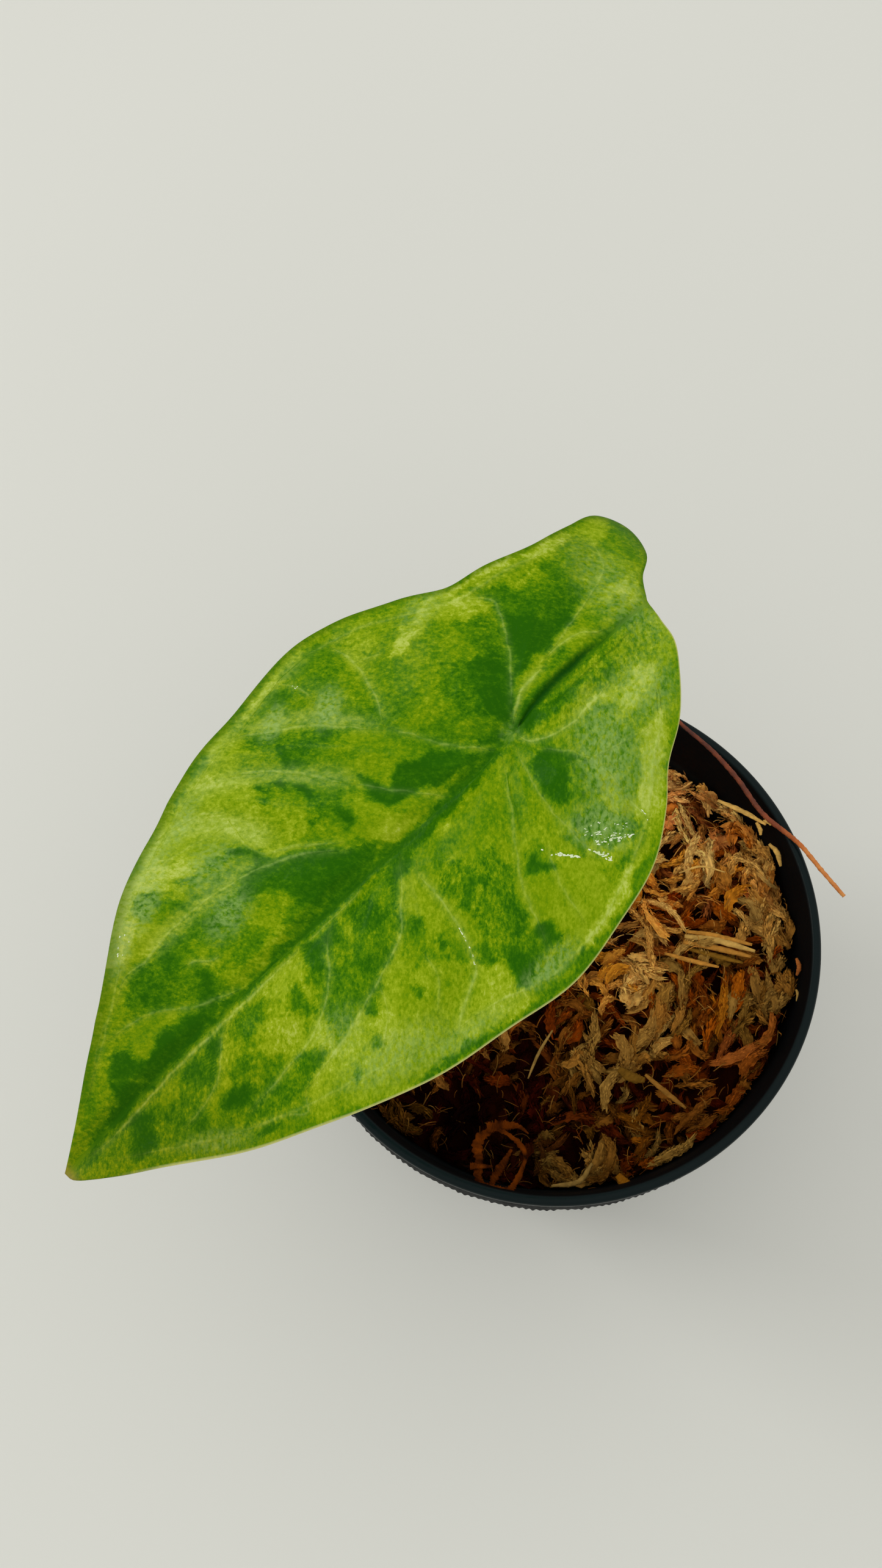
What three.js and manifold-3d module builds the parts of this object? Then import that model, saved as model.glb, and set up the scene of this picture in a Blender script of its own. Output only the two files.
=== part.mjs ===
// Potted alocasia: one young peltate leaf on its petiole, rooted in long-fibre moss
// in a small ribbed nursery pot, with a dry stray fibre lying across the rim.
// Millimetres, +Z up. The origin is the middle of the pot's underside, where it stands.

import * as THREE from 'three';
import { mergeVertices } from 'three/addons/utils/BufferGeometryUtils.js';
import Module from 'manifold-3d';

const wasm = await Module();
wasm.setup();

// Clearance kept between pieces that touch on the real thing
const CLEAR = 0.3;

// Pot: a round nursery pot, 80 mm across its rim and 70 mm tall
const POT_HEIGHT = 70;
const RIM_RADIUS = 39.8;
const RIM_INNER_RADIUS = 38.3;
const RIM_ROUND = 0.8;
const SKIRT_RADIUS = 39.3;
const SKIRT_INNER_RADIUS = 38.5;
const SKIRT_BOTTOM = 59;
const SKIRT_TOP = 67.6;
const GROOVE_RADIUS = 38.9;
const NECK_RADIUS = 37.4;
const FOLD_RADIUS = 38.1;
const FOLD_TOP = 64;
const BASE_RADIUS = 28.5;
const BASE_CHAMFER = 0.9;
const INNER_BASE_RADIUS = 27.2;
const FLOOR_TOP = 3.0;
const FLOOR_UNDER = 1.4;
const FOOT_INNER_RADIUS = 25.5;
const PAD_RADIUS = 9;
const POT_SIDES = 50;
const RIB_COUNT = 100;
const RIB_TIP_RADIUS = 39.85;
const RIB_ROOT_RADIUS = 38.9;
const RIB_SEAT_RADIUS = 38.7;
const RIB_BOTTOM = SKIRT_BOTTOM + 0.5;
const RIB_TOP = 67.2;
const DRAIN_COUNT = 6;
const DRAIN_RADIUS = 3;
const DRAIN_CIRCLE = 17;
const DRAIN_SIDES = 10;

// Moss: a packed core with strands that arch out of its top
const MOSS_LEVEL = 61;
// Place, height and reach: heaped against the wall at the right, low at the back right,
// and a deep hollow at the front left
const MOSS_MOUNDS = [[31, -3, 3.6, 20], [24, 28, -5, 13], [-15, -29, -8, 10]];
const MOSS_SIDES = 30;
const MOSS_RINGS = 6;
const MOSS_WALL_GAP = 0.45;
const STRAND_COUNT = 92;
const STRAND_SINK = 1.1;
const STRAND_SIDES = 4;
const STRAND_STEPS = 3;
const STRAND_FIELD_RADIUS = 33.5;
const GOLDEN_ANGLE = 2.39996;
const SMOOTHING = 0.12;

// Plant: the corm in the moss, the petiole on it and the leaf on the petiole
const CORM_CENTRE = new THREE.Vector3(1, 2, 45);
const CORM_RADIUS = 5.5;
const CORM_STRETCH = 1.2;
const ROOT_COUNT = 6;
const ROOT_RADIUS = 0.9;
const PETIOLE_FOOT = CORM_CENTRE.z + CORM_RADIUS * CORM_STRETCH + CLEAR;
const JUNCTION = new THREE.Vector3(-9, 3, 145);
const LEAF_HEADING = THREE.MathUtils.degToRad(219);

// Leaf blade, in its own level axes: u runs from the junction towards the tip,
// v to the left of that. Only the outline's turning points are given.
const BLADE_THICKNESS = 0.8;
const MIDRIB_DEPTH = 1.1;
const MIDRIB_WIDTH = 1.5;
const LEAF_RAYS = 46;
const LEAF_RINGS = 11;
const TIP_SIDE_A = [
  [68.2, 0.9], [67.8, 2.4], [63.3, 6.2], [58.3, 9.4], [50.3, 14.3], [42.6, 17.8], [36.7, 20.3], [28.3, 22.7],
  [19.6, 24.1], [11.2, 24.8], [4.2, 23.4], [-2.3, 21.2], [-7.5, 17.3], [-10.6, 13.9], [-14.8, 10.8],
  [-18.4, 6.7], [-20.8, 3.2], [-21.5, 0.3], [-22.3, -2.8],
];
const TIP_SIDE_B = [
  [68.2, 0.9], [64.3, -1.5], [56.7, -7.4], [50.2, -12.2], [42.7, -18], [34.1, -21.8], [24.6, -24.3], [16, -25.5],
  [10.4, -25.4], [4.9, -24.1], [-0.7, -21], [-5.1, -17.8], [-9.9, -16.8], [-15.8, -15.5], [-21.5, -15.6],
  [-25.8, -15.3], [-27.9, -12.2], [-27, -7.9], [-23.9, -5.3], [-22.3, -2.8],
];

// Side veins, each from the midrib or the junction out to near the margin
const SIDE_VEINS = [
  [[0, 0], [5.3, -3], [10.5, -11.2], [15, -17], [21, -22.5]],
  [[9.4, -10], [7.4, -17], [8, -22.5]],
  [[9, 0.6], [16, -8], [21, -14], [24.5, -17.3], [30, -21]],
  [[21, -3.5], [27, -9.5], [29.7, -15], [35, -20]],
  [[18, 0.8], [24, -5.5], [29, -9], [38, -9.8], [45, -10], [52, -8.5]],
  [[40, 0.9], [44.4, -1.7], [49.1, -4.9], [55, -6.5]],
  [[0, 0], [-5.5, -7], [-7.6, -11.2], [-8, -13.3], [-5, -15.8]],
  [[0, 0], [-5.5, -3.5], [-10.4, -4.8], [-20.5, -9.1], [-22, -11.9], [-21, -14]],
  [[0, 0], [-1.2, 1.8], [-5.5, 3.6], [-10.5, 3.1], [-17, 2.2]],
  [[-0.5, 1], [-3.8, 6.3], [-4.8, 10], [-5.2, 16.5]],
  [[0.3, 0.8], [1.8, 6], [2.2, 9], [1.7, 12], [1.2, 19]],
  [[0.8, 0.6], [5, 6], [9.5, 13.5], [11.5, 21]],
  [[14.5, 1], [16.8, 4], [17.4, 12.5], [18.6, 16.8], [24, 19.7]],
  [[17, 1], [20.5, 6], [25, 9.8], [31, 12.4], [40, 14.2]],
  [[25, 1], [29.3, 3.5], [31, 6], [36, 9.6], [47, 11.5]],
  [[44, 1], [50, 4.5], [56, 6.5]],
];
const QUILT_HEIGHT = 0.7;
const QUILT_REACH = 2.5;
const MARGIN_WAVE = 0.7;
const MARGIN_WAVES = 9;
const CREASE_DEPTH = 1.6;
const CREASE_WIDTH = 1.4;
const LOBE_REACH = 21;
const LOBE_DROP = 0.03;
const MIDRIB_OFFSET = 0.95;
const MIDRIB_BEND = 6;
const CREASE_SLANT = 0.11;

// Stray fibre: it lies on the rim at two places and ends past the pot
const FIBRE_RADIUS = 0.42;
const FIBRE_SIDES = 6;
const FIBRE_STEPS = 20;
const FIBRE_REST = POT_HEIGHT + CLEAR + FIBRE_RADIUS;
const FIBRE_ROUTE = [
  [17.4, 36.4, FIBRE_REST + 0.5], [20.3, 32.9, FIBRE_REST], [24.6, 28.6, FIBRE_REST + 0.3],
  [28.3, 23.9, FIBRE_REST + 0.5], [32, 18.2, FIBRE_REST + 0.3], [37.2, 13.6, FIBRE_REST],
  [40.3, 9.4, FIBRE_REST + 0.1], [43.8, 5.2, FIBRE_REST - 0.5],
];

function seededRandom(seed) {
  let state = seed;
  return () => {
    state = (state * 1664525 + 1013904223) % 4294967296;
    return state / 4294967296;
  };
}

// Solids: a closed mesh becomes a solid for joins and cuts, and comes back as a geometry

function signedVolume(position, index) {
  const a = new THREE.Vector3();
  const b = new THREE.Vector3();
  const c = new THREE.Vector3();
  let sum = 0;
  for (let i = 0; i < index.length; i += 3) {
    a.fromArray(position, index[i] * 3);
    b.fromArray(position, index[i + 1] * 3);
    c.fromArray(position, index[i + 2] * 3);
    sum += a.dot(b.cross(c));
  }
  return sum / 6;
}

function toSolid(geometry) {
  const bare = geometry.clone();
  bare.deleteAttribute('normal');
  bare.deleteAttribute('uv');
  const merged = mergeVertices(bare, 1e-4);
  const position = merged.attributes.position.array;
  const all = Array.from(merged.index.array);
  let index = [];
  for (let i = 0; i < all.length; i += 3) {
    const [a, b, c] = all.slice(i, i + 3);
    if (a !== b && b !== c && c !== a) index.push(a, b, c);
  }
  if (signedVolume(position, index) < 0) index = index.reverse();
  const mesh = new wasm.Mesh({
    numProp: 3,
    vertProperties: new Float32Array(position),
    triVerts: new Uint32Array(index),
  });
  return new wasm.Manifold(mesh);
}

function toGeometry(solid) {
  const mesh = solid.getMesh();
  const geometry = new THREE.BufferGeometry();
  geometry.setAttribute('position', new THREE.BufferAttribute(mesh.vertProperties, 3));
  geometry.setIndex(new THREE.BufferAttribute(mesh.triVerts, 1));
  geometry.computeVertexNormals();
  return geometry;
}

// The largest body of a solid, which drops loose scraps and fills sealed hollows
function largestBody(solid) {
  const bodies = solid.decompose();
  return bodies.reduce((best, body) => (body.volume() > best.volume() ? body : best));
}

function lathed(profile, sides) {
  const points = profile.map(([r, z]) => new THREE.Vector2(r, z));
  return toSolid(new THREE.LatheGeometry(points, sides).rotateX(Math.PI / 2));
}

// A limb follows a smooth route with its own width at each step, and closes to a point
// at both ends. flat squeezes the section; grow fattens it for the hole that it leaves.
function limb({ route, radii, sides, steps, flat = 1, grow = 0, across = new THREE.Vector3(0, 0, 1) }) {
  const curve = new THREE.CatmullRomCurve3(route.map((p) => new THREE.Vector3(...p)), false, 'centripetal');
  const widths = new THREE.SplineCurve(radii.map((r, i) => new THREE.Vector2(i, r)));
  const vertices = [];
  const index = [];
  const side = new THREE.Vector3();
  const up = new THREE.Vector3();
  for (let i = 0; i <= steps; i++) {
    const t = i / steps;
    const centre = curve.getPoint(t);
    const along = curve.getTangent(t);
    const radius = widths.getPoint(t).y + grow;
    side.crossVectors(along, across).normalize();
    up.crossVectors(side, along);
    for (let k = 0; k < sides; k++) {
      const angle = (2 * Math.PI * (k + 0.5)) / sides;
      const point = centre.clone();
      point.addScaledVector(side, radius * Math.cos(angle));
      point.addScaledVector(up, (radius * flat + grow * (1 - flat)) * Math.sin(angle));
      vertices.push(...point.toArray());
    }
  }
  const start = vertices.length / 3;
  vertices.push(...curve.getPoint(0).addScaledVector(curve.getTangent(0), -grow).toArray());
  vertices.push(...curve.getPoint(1).addScaledVector(curve.getTangent(1), grow).toArray());
  const last = steps * sides;
  for (let k = 0; k < sides; k++) {
    const next = (k + 1) % sides;
    index.push(start, next, k);
    index.push(start + 1, last + k, last + next);
    for (let i = 0; i < steps; i++) {
      const row = i * sides;
      index.push(row + k, row + next, row + sides + next);
      index.push(row + k, row + sides + next, row + sides + k);
    }
  }
  const geometry = new THREE.BufferGeometry();
  geometry.setAttribute('position', new THREE.Float32BufferAttribute(vertices, 3));
  geometry.setIndex(index);
  return toSolid(geometry);
}

// Pot

function potProfile() {
  return [
    [0, 0], [PAD_RADIUS, 0], [PAD_RADIUS, FLOOR_UNDER], [FOOT_INNER_RADIUS, FLOOR_UNDER], [FOOT_INNER_RADIUS, 0],
    [BASE_RADIUS - BASE_CHAMFER, 0], [BASE_RADIUS, BASE_CHAMFER],
    [NECK_RADIUS, SKIRT_BOTTOM], [FOLD_RADIUS, FOLD_TOP], [SKIRT_INNER_RADIUS, FOLD_TOP],
    [SKIRT_INNER_RADIUS, SKIRT_BOTTOM], [SKIRT_RADIUS, SKIRT_BOTTOM],
    [SKIRT_RADIUS, SKIRT_TOP], [GROOVE_RADIUS, SKIRT_TOP + 0.2], [GROOVE_RADIUS, SKIRT_TOP + 0.6],
    [RIM_RADIUS, SKIRT_TOP + 0.9], [RIM_RADIUS, POT_HEIGHT - RIM_ROUND],
    [RIM_RADIUS - RIM_ROUND * 0.3, POT_HEIGHT - RIM_ROUND * 0.3], [RIM_RADIUS - RIM_ROUND, POT_HEIGHT],
    [RIM_INNER_RADIUS + RIM_ROUND / 2, POT_HEIGHT], [RIM_INNER_RADIUS, POT_HEIGHT - RIM_ROUND / 2],
    [INNER_BASE_RADIUS, FLOOR_TOP], [0, FLOOR_TOP],
  ];
}

function potInnerRadius(z) {
  const span = POT_HEIGHT - RIM_ROUND / 2 - FLOOR_TOP;
  return INNER_BASE_RADIUS + ((RIM_INNER_RADIUS - INNER_BASE_RADIUS) * (z - FLOOR_TOP)) / span;
}

function ribRing() {
  const outline = new THREE.Shape();
  for (let i = 0; i < 2 * RIB_COUNT; i++) {
    const angle = (Math.PI * i) / RIB_COUNT;
    const radius = i % 2 ? RIB_TIP_RADIUS : RIB_ROOT_RADIUS;
    const point = [radius * Math.cos(angle), radius * Math.sin(angle)];
    if (i) outline.lineTo(...point);
    else outline.moveTo(...point);
  }
  const middle = new THREE.Path();
  middle.absarc(0, 0, RIB_SEAT_RADIUS, 0, 2 * Math.PI);
  outline.holes.push(middle);
  const height = RIB_TOP - RIB_BOTTOM;
  const ring = new THREE.ExtrudeGeometry(outline, { depth: height, bevelEnabled: false, curveSegments: 30 });
  return toSolid(ring.translate(0, 0, RIB_BOTTOM));
}

function drainHoles() {
  const holes = [];
  for (let i = 0; i < DRAIN_COUNT; i++) {
    const angle = (2 * Math.PI * i) / DRAIN_COUNT;
    const hole = new THREE.CylinderGeometry(DRAIN_RADIUS, DRAIN_RADIUS, 2 * FLOOR_TOP + 2, DRAIN_SIDES);
    hole.rotateX(Math.PI / 2);
    hole.translate(DRAIN_CIRCLE * Math.cos(angle), DRAIN_CIRCLE * Math.sin(angle), 0);
    holes.push(toSolid(hole));
  }
  return wasm.Manifold.union(holes);
}

function potSolid() {
  return lathed(potProfile(), POT_SIDES).add(ribRing()).subtract(drainHoles());
}

// Leaf blade

function distanceToPath(u, v, path) {
  let best = Infinity;
  for (let i = 0; i + 1 < path.length; i++) {
    const [au, av] = path[i];
    const du = path[i + 1][0] - au;
    const dv = path[i + 1][1] - av;
    const t = THREE.MathUtils.clamp(((u - au) * du + (v - av) * dv) / (du * du + dv * dv), 0, 1);
    best = Math.min(best, Math.hypot(u - au - t * du, v - av - t * dv));
  }
  return best;
}

// The midrib falls away towards the tip; behind the junction the blade first rises
function spineHeight(u) {
  if (u > 0) return -0.26 * u - 0.003 * u * u;
  return -0.26 * u * Math.exp(u / 26) - 0.0055 * u * u;
}

// Each half rises from the sunken midrib and falls again to its margin
function archHeight(v) {
  return 3.2 * (1 - Math.exp(-Math.abs(v) / 7)) - 0.0085 * v * v;
}

// The midrib swings slightly to one side, and the crease behind the junction to the other
function foldLine(u) {
  return u < 0 ? CREASE_SLANT * u : MIDRIB_OFFSET * (1 - Math.exp(-u / MIDRIB_BEND));
}

function bladeHeight(u, v, margin) {
  const fold = v - foldLine(u);
  const veins = Math.min(...SIDE_VEINS.map((path) => distanceToPath(u, v, path)));
  const quilt = QUILT_HEIGHT * (1 - Math.exp(-((veins / QUILT_REACH) ** 2)));
  const creased = THREE.MathUtils.smoothstep(-u, 1, 4) * (1 - THREE.MathUtils.smoothstep(-u, 14, 20));
  const crease = CREASE_DEPTH * creased * Math.exp(-((fold / CREASE_WIDTH) ** 2));
  const wave = MARGIN_WAVE * margin ** 3 * Math.sin(MARGIN_WAVES * Math.atan2(v, u - 20));
  const past = Math.max(0, Math.hypot(u, v) - LOBE_REACH);
  const lobe = u < 0 && v < 0 ? LOBE_DROP * past * past : 0;
  return spineHeight(u) + archHeight(fold) + quilt * Math.min(1, Math.abs(fold) / 2) - crease + wave - lobe;
}

// The midrib stands out below the blade and fades towards the tip
function ribHeight(u, v) {
  const fade = 1 - THREE.MathUtils.smoothstep(u, 0, 66);
  return u < -4 ? 0 : MIDRIB_DEPTH * fade * Math.exp(-(((v - foldLine(u)) / MIDRIB_WIDTH) ** 2));
}

function bladeOutline() {
  const sides = [TIP_SIDE_A, [...TIP_SIDE_B].reverse()];
  return sides.flatMap((side) => {
    const curve = new THREE.CatmullRomCurve3(side.map(([u, v]) => new THREE.Vector3(u, v, 0)), false, 'centripetal');
    return curve.getSpacedPoints(LEAF_RAYS).slice(0, -1);
  });
}

function bladePoint(u, v, z) {
  const cos = Math.cos(LEAF_HEADING);
  const sin = Math.sin(LEAF_HEADING);
  return [JUNCTION.x + u * cos - v * sin, JUNCTION.y + u * sin + v * cos, JUNCTION.z + z];
}

function bladeGeometry() {
  const outline = bladeOutline();
  const rays = outline.length;
  const top = [bladePoint(0, 0, bladeHeight(0, 0, 0))];
  const under = [bladePoint(0, 0, bladeHeight(0, 0, 0) - BLADE_THICKNESS - ribHeight(0, 0))];
  for (let ring = 1; ring <= LEAF_RINGS; ring++) {
    const share = ring / LEAF_RINGS;
    for (const edge of outline) {
      const u = edge.x * share;
      const v = edge.y * share;
      const z = bladeHeight(u, v, share);
      top.push(bladePoint(u, v, z));
      under.push(bladePoint(u, v, z - BLADE_THICKNESS - ribHeight(u, v)));
    }
  }
  const index = [];
  const below = top.length;
  const face = (a, b, c) => {
    index.push(a, b, c);
    index.push(below + a, below + c, below + b);
  };
  for (let k = 0; k < rays; k++) {
    const next = (k + 1) % rays;
    face(0, 1 + k, 1 + next);
    for (let ring = 0; ring + 1 < LEAF_RINGS; ring++) {
      const near = 1 + ring * rays;
      const far = near + rays;
      face(near + k, far + k, far + next);
      face(near + k, far + next, near + next);
    }
    const edge = 1 + (LEAF_RINGS - 1) * rays;
    index.push(edge + k, below + edge + k, below + edge + next);
    index.push(edge + k, below + edge + next, edge + next);
  }
  const geometry = new THREE.BufferGeometry();
  geometry.setAttribute('position', new THREE.Float32BufferAttribute([...top, ...under].flat(), 3));
  geometry.setIndex(index);
  return geometry;
}

// Petiole, corm and roots

const UNDER_JUNCTION = JUNCTION.z - BLADE_THICKNESS - MIDRIB_DEPTH - CLEAR;
const PETIOLE = {
  route: [
    [CORM_CENTRE.x, CORM_CENTRE.y, PETIOLE_FOOT], [0.9, 2.1, 62], [-0.4, 2.5, 85], [-4.4, 3, 118],
    [JUNCTION.x, JUNCTION.y, UNDER_JUNCTION],
  ],
  radii: [3.6, 4.1, 2.5, 1.8, 1.5],
  sides: 10,
  steps: 18,
  across: new THREE.Vector3(1, 0, 0),
};

function petioleSolid(grow = 0) {
  return limb({ ...PETIOLE, grow });
}

function rootSolid(number, grow) {
  const angle = (2 * Math.PI * number) / ROOT_COUNT + 0.4;
  const reach = 16 + 4 * (number % 3);
  const depth = 14 + 7 * (number % 2);
  const at = (share, drop) => [
    CORM_CENTRE.x + reach * share * Math.cos(angle + 0.5 * share),
    CORM_CENTRE.y + reach * share * Math.sin(angle + 0.5 * share),
    CORM_CENTRE.z - drop,
  ];
  return limb({
    route: [at(0.12, 1), at(0.45, 4), at(0.8, depth * 0.6), at(1, depth + 6)],
    radii: [ROOT_RADIUS, ROOT_RADIUS, ROOT_RADIUS * 0.8, ROOT_RADIUS * 0.5],
    sides: 5,
    steps: 7,
    grow,
  });
}

function cormSolid(grow = 0) {
  const bulb = new THREE.SphereGeometry(CORM_RADIUS + grow, 12, 8).rotateX(Math.PI / 2);
  bulb.scale(1, 1, CORM_STRETCH).translate(CORM_CENTRE.x, CORM_CENTRE.y, CORM_CENTRE.z);
  const roots = Array.from({ length: ROOT_COUNT }, (_, i) => rootSolid(i, grow));
  return wasm.Manifold.union([toSolid(bulb), ...roots]);
}

function fibreSolid(grow = 0) {
  return limb({
    route: FIBRE_ROUTE,
    radii: [0.3, 0.36, FIBRE_RADIUS, FIBRE_RADIUS, FIBRE_RADIUS, 0.38, 0.3, 0.16],
    sides: FIBRE_SIDES,
    steps: FIBRE_STEPS,
    grow,
  });
}

// Moss

// A hump or hollow of the moss's top, round a place
function mound(x, y, [centreX, centreY, height, reach]) {
  return height * Math.exp(-((x - centreX) ** 2 + (y - centreY) ** 2) / reach ** 2);
}

// The top is lumpy and sinks a little towards the wall
function mossTop(x, y) {
  const lumps = 1.1 * Math.sin(0.31 * x + 1.2) * Math.cos(0.27 * y) + 0.7 * Math.sin(0.6 * x - 0.5 * y);
  const edge = -1.2 * THREE.MathUtils.smoothstep(Math.hypot(x, y), 30, 37.5);
  return MOSS_MOUNDS.reduce((level, one) => level + mound(x, y, one), MOSS_LEVEL + lumps + edge);
}

function mossCore() {
  const bottom = FLOOR_TOP + CLEAR;
  const vertices = [0, 0, mossTop(0, 0)];
  const index = [];
  for (let ring = 1; ring <= MOSS_RINGS; ring++) {
    for (let k = 0; k < MOSS_SIDES; k++) {
      const angle = (2 * Math.PI * k) / MOSS_SIDES;
      const rim = potInnerRadius(MOSS_LEVEL) - MOSS_WALL_GAP;
      const radius = (rim * ring) / MOSS_RINGS;
      const x = radius * Math.cos(angle);
      const y = radius * Math.sin(angle);
      vertices.push(x, y, mossTop(x, y));
    }
  }
  const foot = vertices.length / 3;
  for (let k = 0; k < MOSS_SIDES; k++) {
    const angle = (2 * Math.PI * k) / MOSS_SIDES;
    const radius = INNER_BASE_RADIUS - MOSS_WALL_GAP;
    vertices.push(radius * Math.cos(angle), radius * Math.sin(angle), bottom);
  }
  vertices.push(0, 0, bottom);
  for (let k = 0; k < MOSS_SIDES; k++) {
    const next = (k + 1) % MOSS_SIDES;
    index.push(0, 1 + k, 1 + next);
    for (let ring = 0; ring + 1 < MOSS_RINGS; ring++) {
      const near = 1 + ring * MOSS_SIDES;
      const far = near + MOSS_SIDES;
      index.push(near + k, far + k, far + next);
      index.push(near + k, far + next, near + next);
    }
    const edge = 1 + (MOSS_RINGS - 1) * MOSS_SIDES;
    index.push(edge + k, foot + k, foot + next);
    index.push(edge + k, foot + next, edge + next);
    index.push(foot + MOSS_SIDES, foot + next, foot + k);
  }
  const geometry = new THREE.BufferGeometry();
  geometry.setAttribute('position', new THREE.Float32BufferAttribute(vertices, 3));
  geometry.setIndex(index);
  return toSolid(geometry);
}

// One strand arches out of the moss, or has its far end free, and bends to one side
function mossStrand(x, y, random) {
  const heading = 2 * Math.PI * random();
  const length = 8 + 6 * random();
  const bend = (random() - 0.5) * 1.2;
  const width = 1 + 0.7 * random();
  const rise = 1.2 + 1.4 * random();
  const free = random() < 0.45;
  const route = [];
  for (let i = 0; i <= STRAND_STEPS; i++) {
    const share = i / STRAND_STEPS;
    const turn = heading + bend * (share - 0.5);
    let px = x + length * (share - 0.5) * Math.cos(turn);
    let py = y + length * (share - 0.5) * Math.sin(turn);
    const limit = potInnerRadius(MOSS_LEVEL) - MOSS_WALL_GAP - width;
    const shrink = Math.min(1, limit / Math.hypot(px, py));
    px *= shrink;
    py *= shrink;
    const lift = free ? -STRAND_SINK + (STRAND_SINK + rise) * Math.sqrt(share) : rise * Math.sin(Math.PI * share);
    const sunk = free ? 0 : -STRAND_SINK * Math.abs(2 * share - 1);
    route.push([px, py, mossTop(px, py) + lift + sunk]);
  }
  const radii = [0.5 * width, 0.85 * width, width, 0.8 * width, 0.35 * width];
  return limb({ route, radii, sides: STRAND_SIDES, steps: STRAND_STEPS, flat: 0.6 });
}

function mossStrands() {
  const random = seededRandom(4021);
  const strands = [];
  for (let i = 0; i < STRAND_COUNT; i++) {
    const radius = STRAND_FIELD_RADIUS * Math.sqrt((i + 0.5) / STRAND_COUNT);
    const angle = i * GOLDEN_ANGLE + 0.5 * (random() - 0.5);
    strands.push(mossStrand(radius * Math.cos(angle), radius * Math.sin(angle), random));
  }
  return strands;
}

// The room that the pot leaves, up to well above the strands
function potRoom() {
  const top = POT_HEIGHT + 10;
  return lathed([
    [0, FLOOR_TOP + CLEAR], [INNER_BASE_RADIUS - CLEAR, FLOOR_TOP + CLEAR],
    [potInnerRadius(top) - MOSS_WALL_GAP, top], [0, top],
  ], POT_SIDES);
}

function mossSolid() {
  const tuft = wasm.Manifold.union([mossCore(), ...mossStrands()]).simplify(SMOOTHING);
  const cuts = wasm.Manifold.union([petioleSolid(CLEAR), cormSolid(CLEAR)]);
  return largestBody(tuft.intersect(potRoom()).subtract(cuts));
}

// Scene graph

const FINISH = {
  pot: { color: 0x14181b, roughness: 0.55, metalness: 0 },
  moss: { color: 0xa9794a, roughness: 0.95, metalness: 0 },
  corm: { color: 0x6b4a2c, roughness: 0.9, metalness: 0 },
  petiole: { color: 0x7f9a48, roughness: 0.5, metalness: 0 },
  leaf_blade: { color: 0x6c9a1e, roughness: 0.35, metalness: 0 },
  fibre: { color: 0x9a4f28, roughness: 0.8, metalness: 0 },
};

const plant = new THREE.Group();

function place(name, geometry) {
  const mesh = new THREE.Mesh(geometry, new THREE.MeshStandardMaterial(FINISH[name]));
  mesh.name = name;
  plant.add(mesh);
}

place('pot', toGeometry(potSolid()));
place('moss', toGeometry(mossSolid()));
place('corm', toGeometry(cormSolid()));
place('petiole', toGeometry(petioleSolid()));
place('leaf_blade', bladeGeometry());
place('fibre', toGeometry(fibreSolid()));

export default plant;
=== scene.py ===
import math

import bpy
import numpy as np
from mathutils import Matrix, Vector


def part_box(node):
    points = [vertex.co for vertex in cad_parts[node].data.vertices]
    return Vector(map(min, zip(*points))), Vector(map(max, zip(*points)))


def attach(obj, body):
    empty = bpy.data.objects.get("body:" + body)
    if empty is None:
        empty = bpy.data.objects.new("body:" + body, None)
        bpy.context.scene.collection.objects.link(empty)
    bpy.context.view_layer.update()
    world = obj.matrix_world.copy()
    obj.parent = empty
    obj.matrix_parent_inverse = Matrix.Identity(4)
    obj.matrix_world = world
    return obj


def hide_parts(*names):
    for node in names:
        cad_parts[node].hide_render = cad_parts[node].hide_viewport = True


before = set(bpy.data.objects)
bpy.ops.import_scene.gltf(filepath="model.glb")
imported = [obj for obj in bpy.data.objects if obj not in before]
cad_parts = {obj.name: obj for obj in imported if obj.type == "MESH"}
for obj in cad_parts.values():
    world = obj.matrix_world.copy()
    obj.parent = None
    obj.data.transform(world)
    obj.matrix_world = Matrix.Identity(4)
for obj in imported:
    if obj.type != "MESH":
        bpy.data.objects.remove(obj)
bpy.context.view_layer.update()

MM = 0.001
BODY = "root"
rng = np.random.default_rng(71)


# Small helpers

def smoothstep(x, low, high):
    t = np.clip((x - low) / (high - low), 0, 1)
    return t * t * (3 - 2 * t)


def linear(red, green, blue):
    """A linear colour from one given as 0 to 255 on screen."""
    parts = [c / 255 for c in (red, green, blue)]
    return tuple(c / 12.92 if c <= 0.04045 else ((c + 0.055) / 1.055) ** 2.4 for c in parts)


def lattice(ix, iy, seed):
    """A fixed value from 0 to 1 at each whole-number place."""
    h = np.sin(ix * 127.1 + iy * 311.7 + seed * 74.7) * 43758.5453
    return h - np.floor(h)


def value_noise(x, y, seed=0):
    """Smooth noise from -1 to 1 with features one unit wide."""
    x, y = np.asarray(x, float), np.asarray(y, float)
    ix, iy = np.floor(x), np.floor(y)
    fx, fy = x - ix, y - iy
    fx, fy = fx * fx * (3 - 2 * fx), fy * fy * (3 - 2 * fy)
    low = lattice(ix, iy, seed) * (1 - fx) + lattice(ix + 1, iy, seed) * fx
    high = lattice(ix, iy + 1, seed) * (1 - fx) + lattice(ix + 1, iy + 1, seed) * fx
    return 2 * (low * (1 - fy) + high * fy) - 1


def between(t, low, high, a, b):
    """a where t is low and b where it is high, and a straight mix of them elsewhere."""
    return (high - t) / (high - low) * a + (t - low) / (high - low) * b


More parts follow.
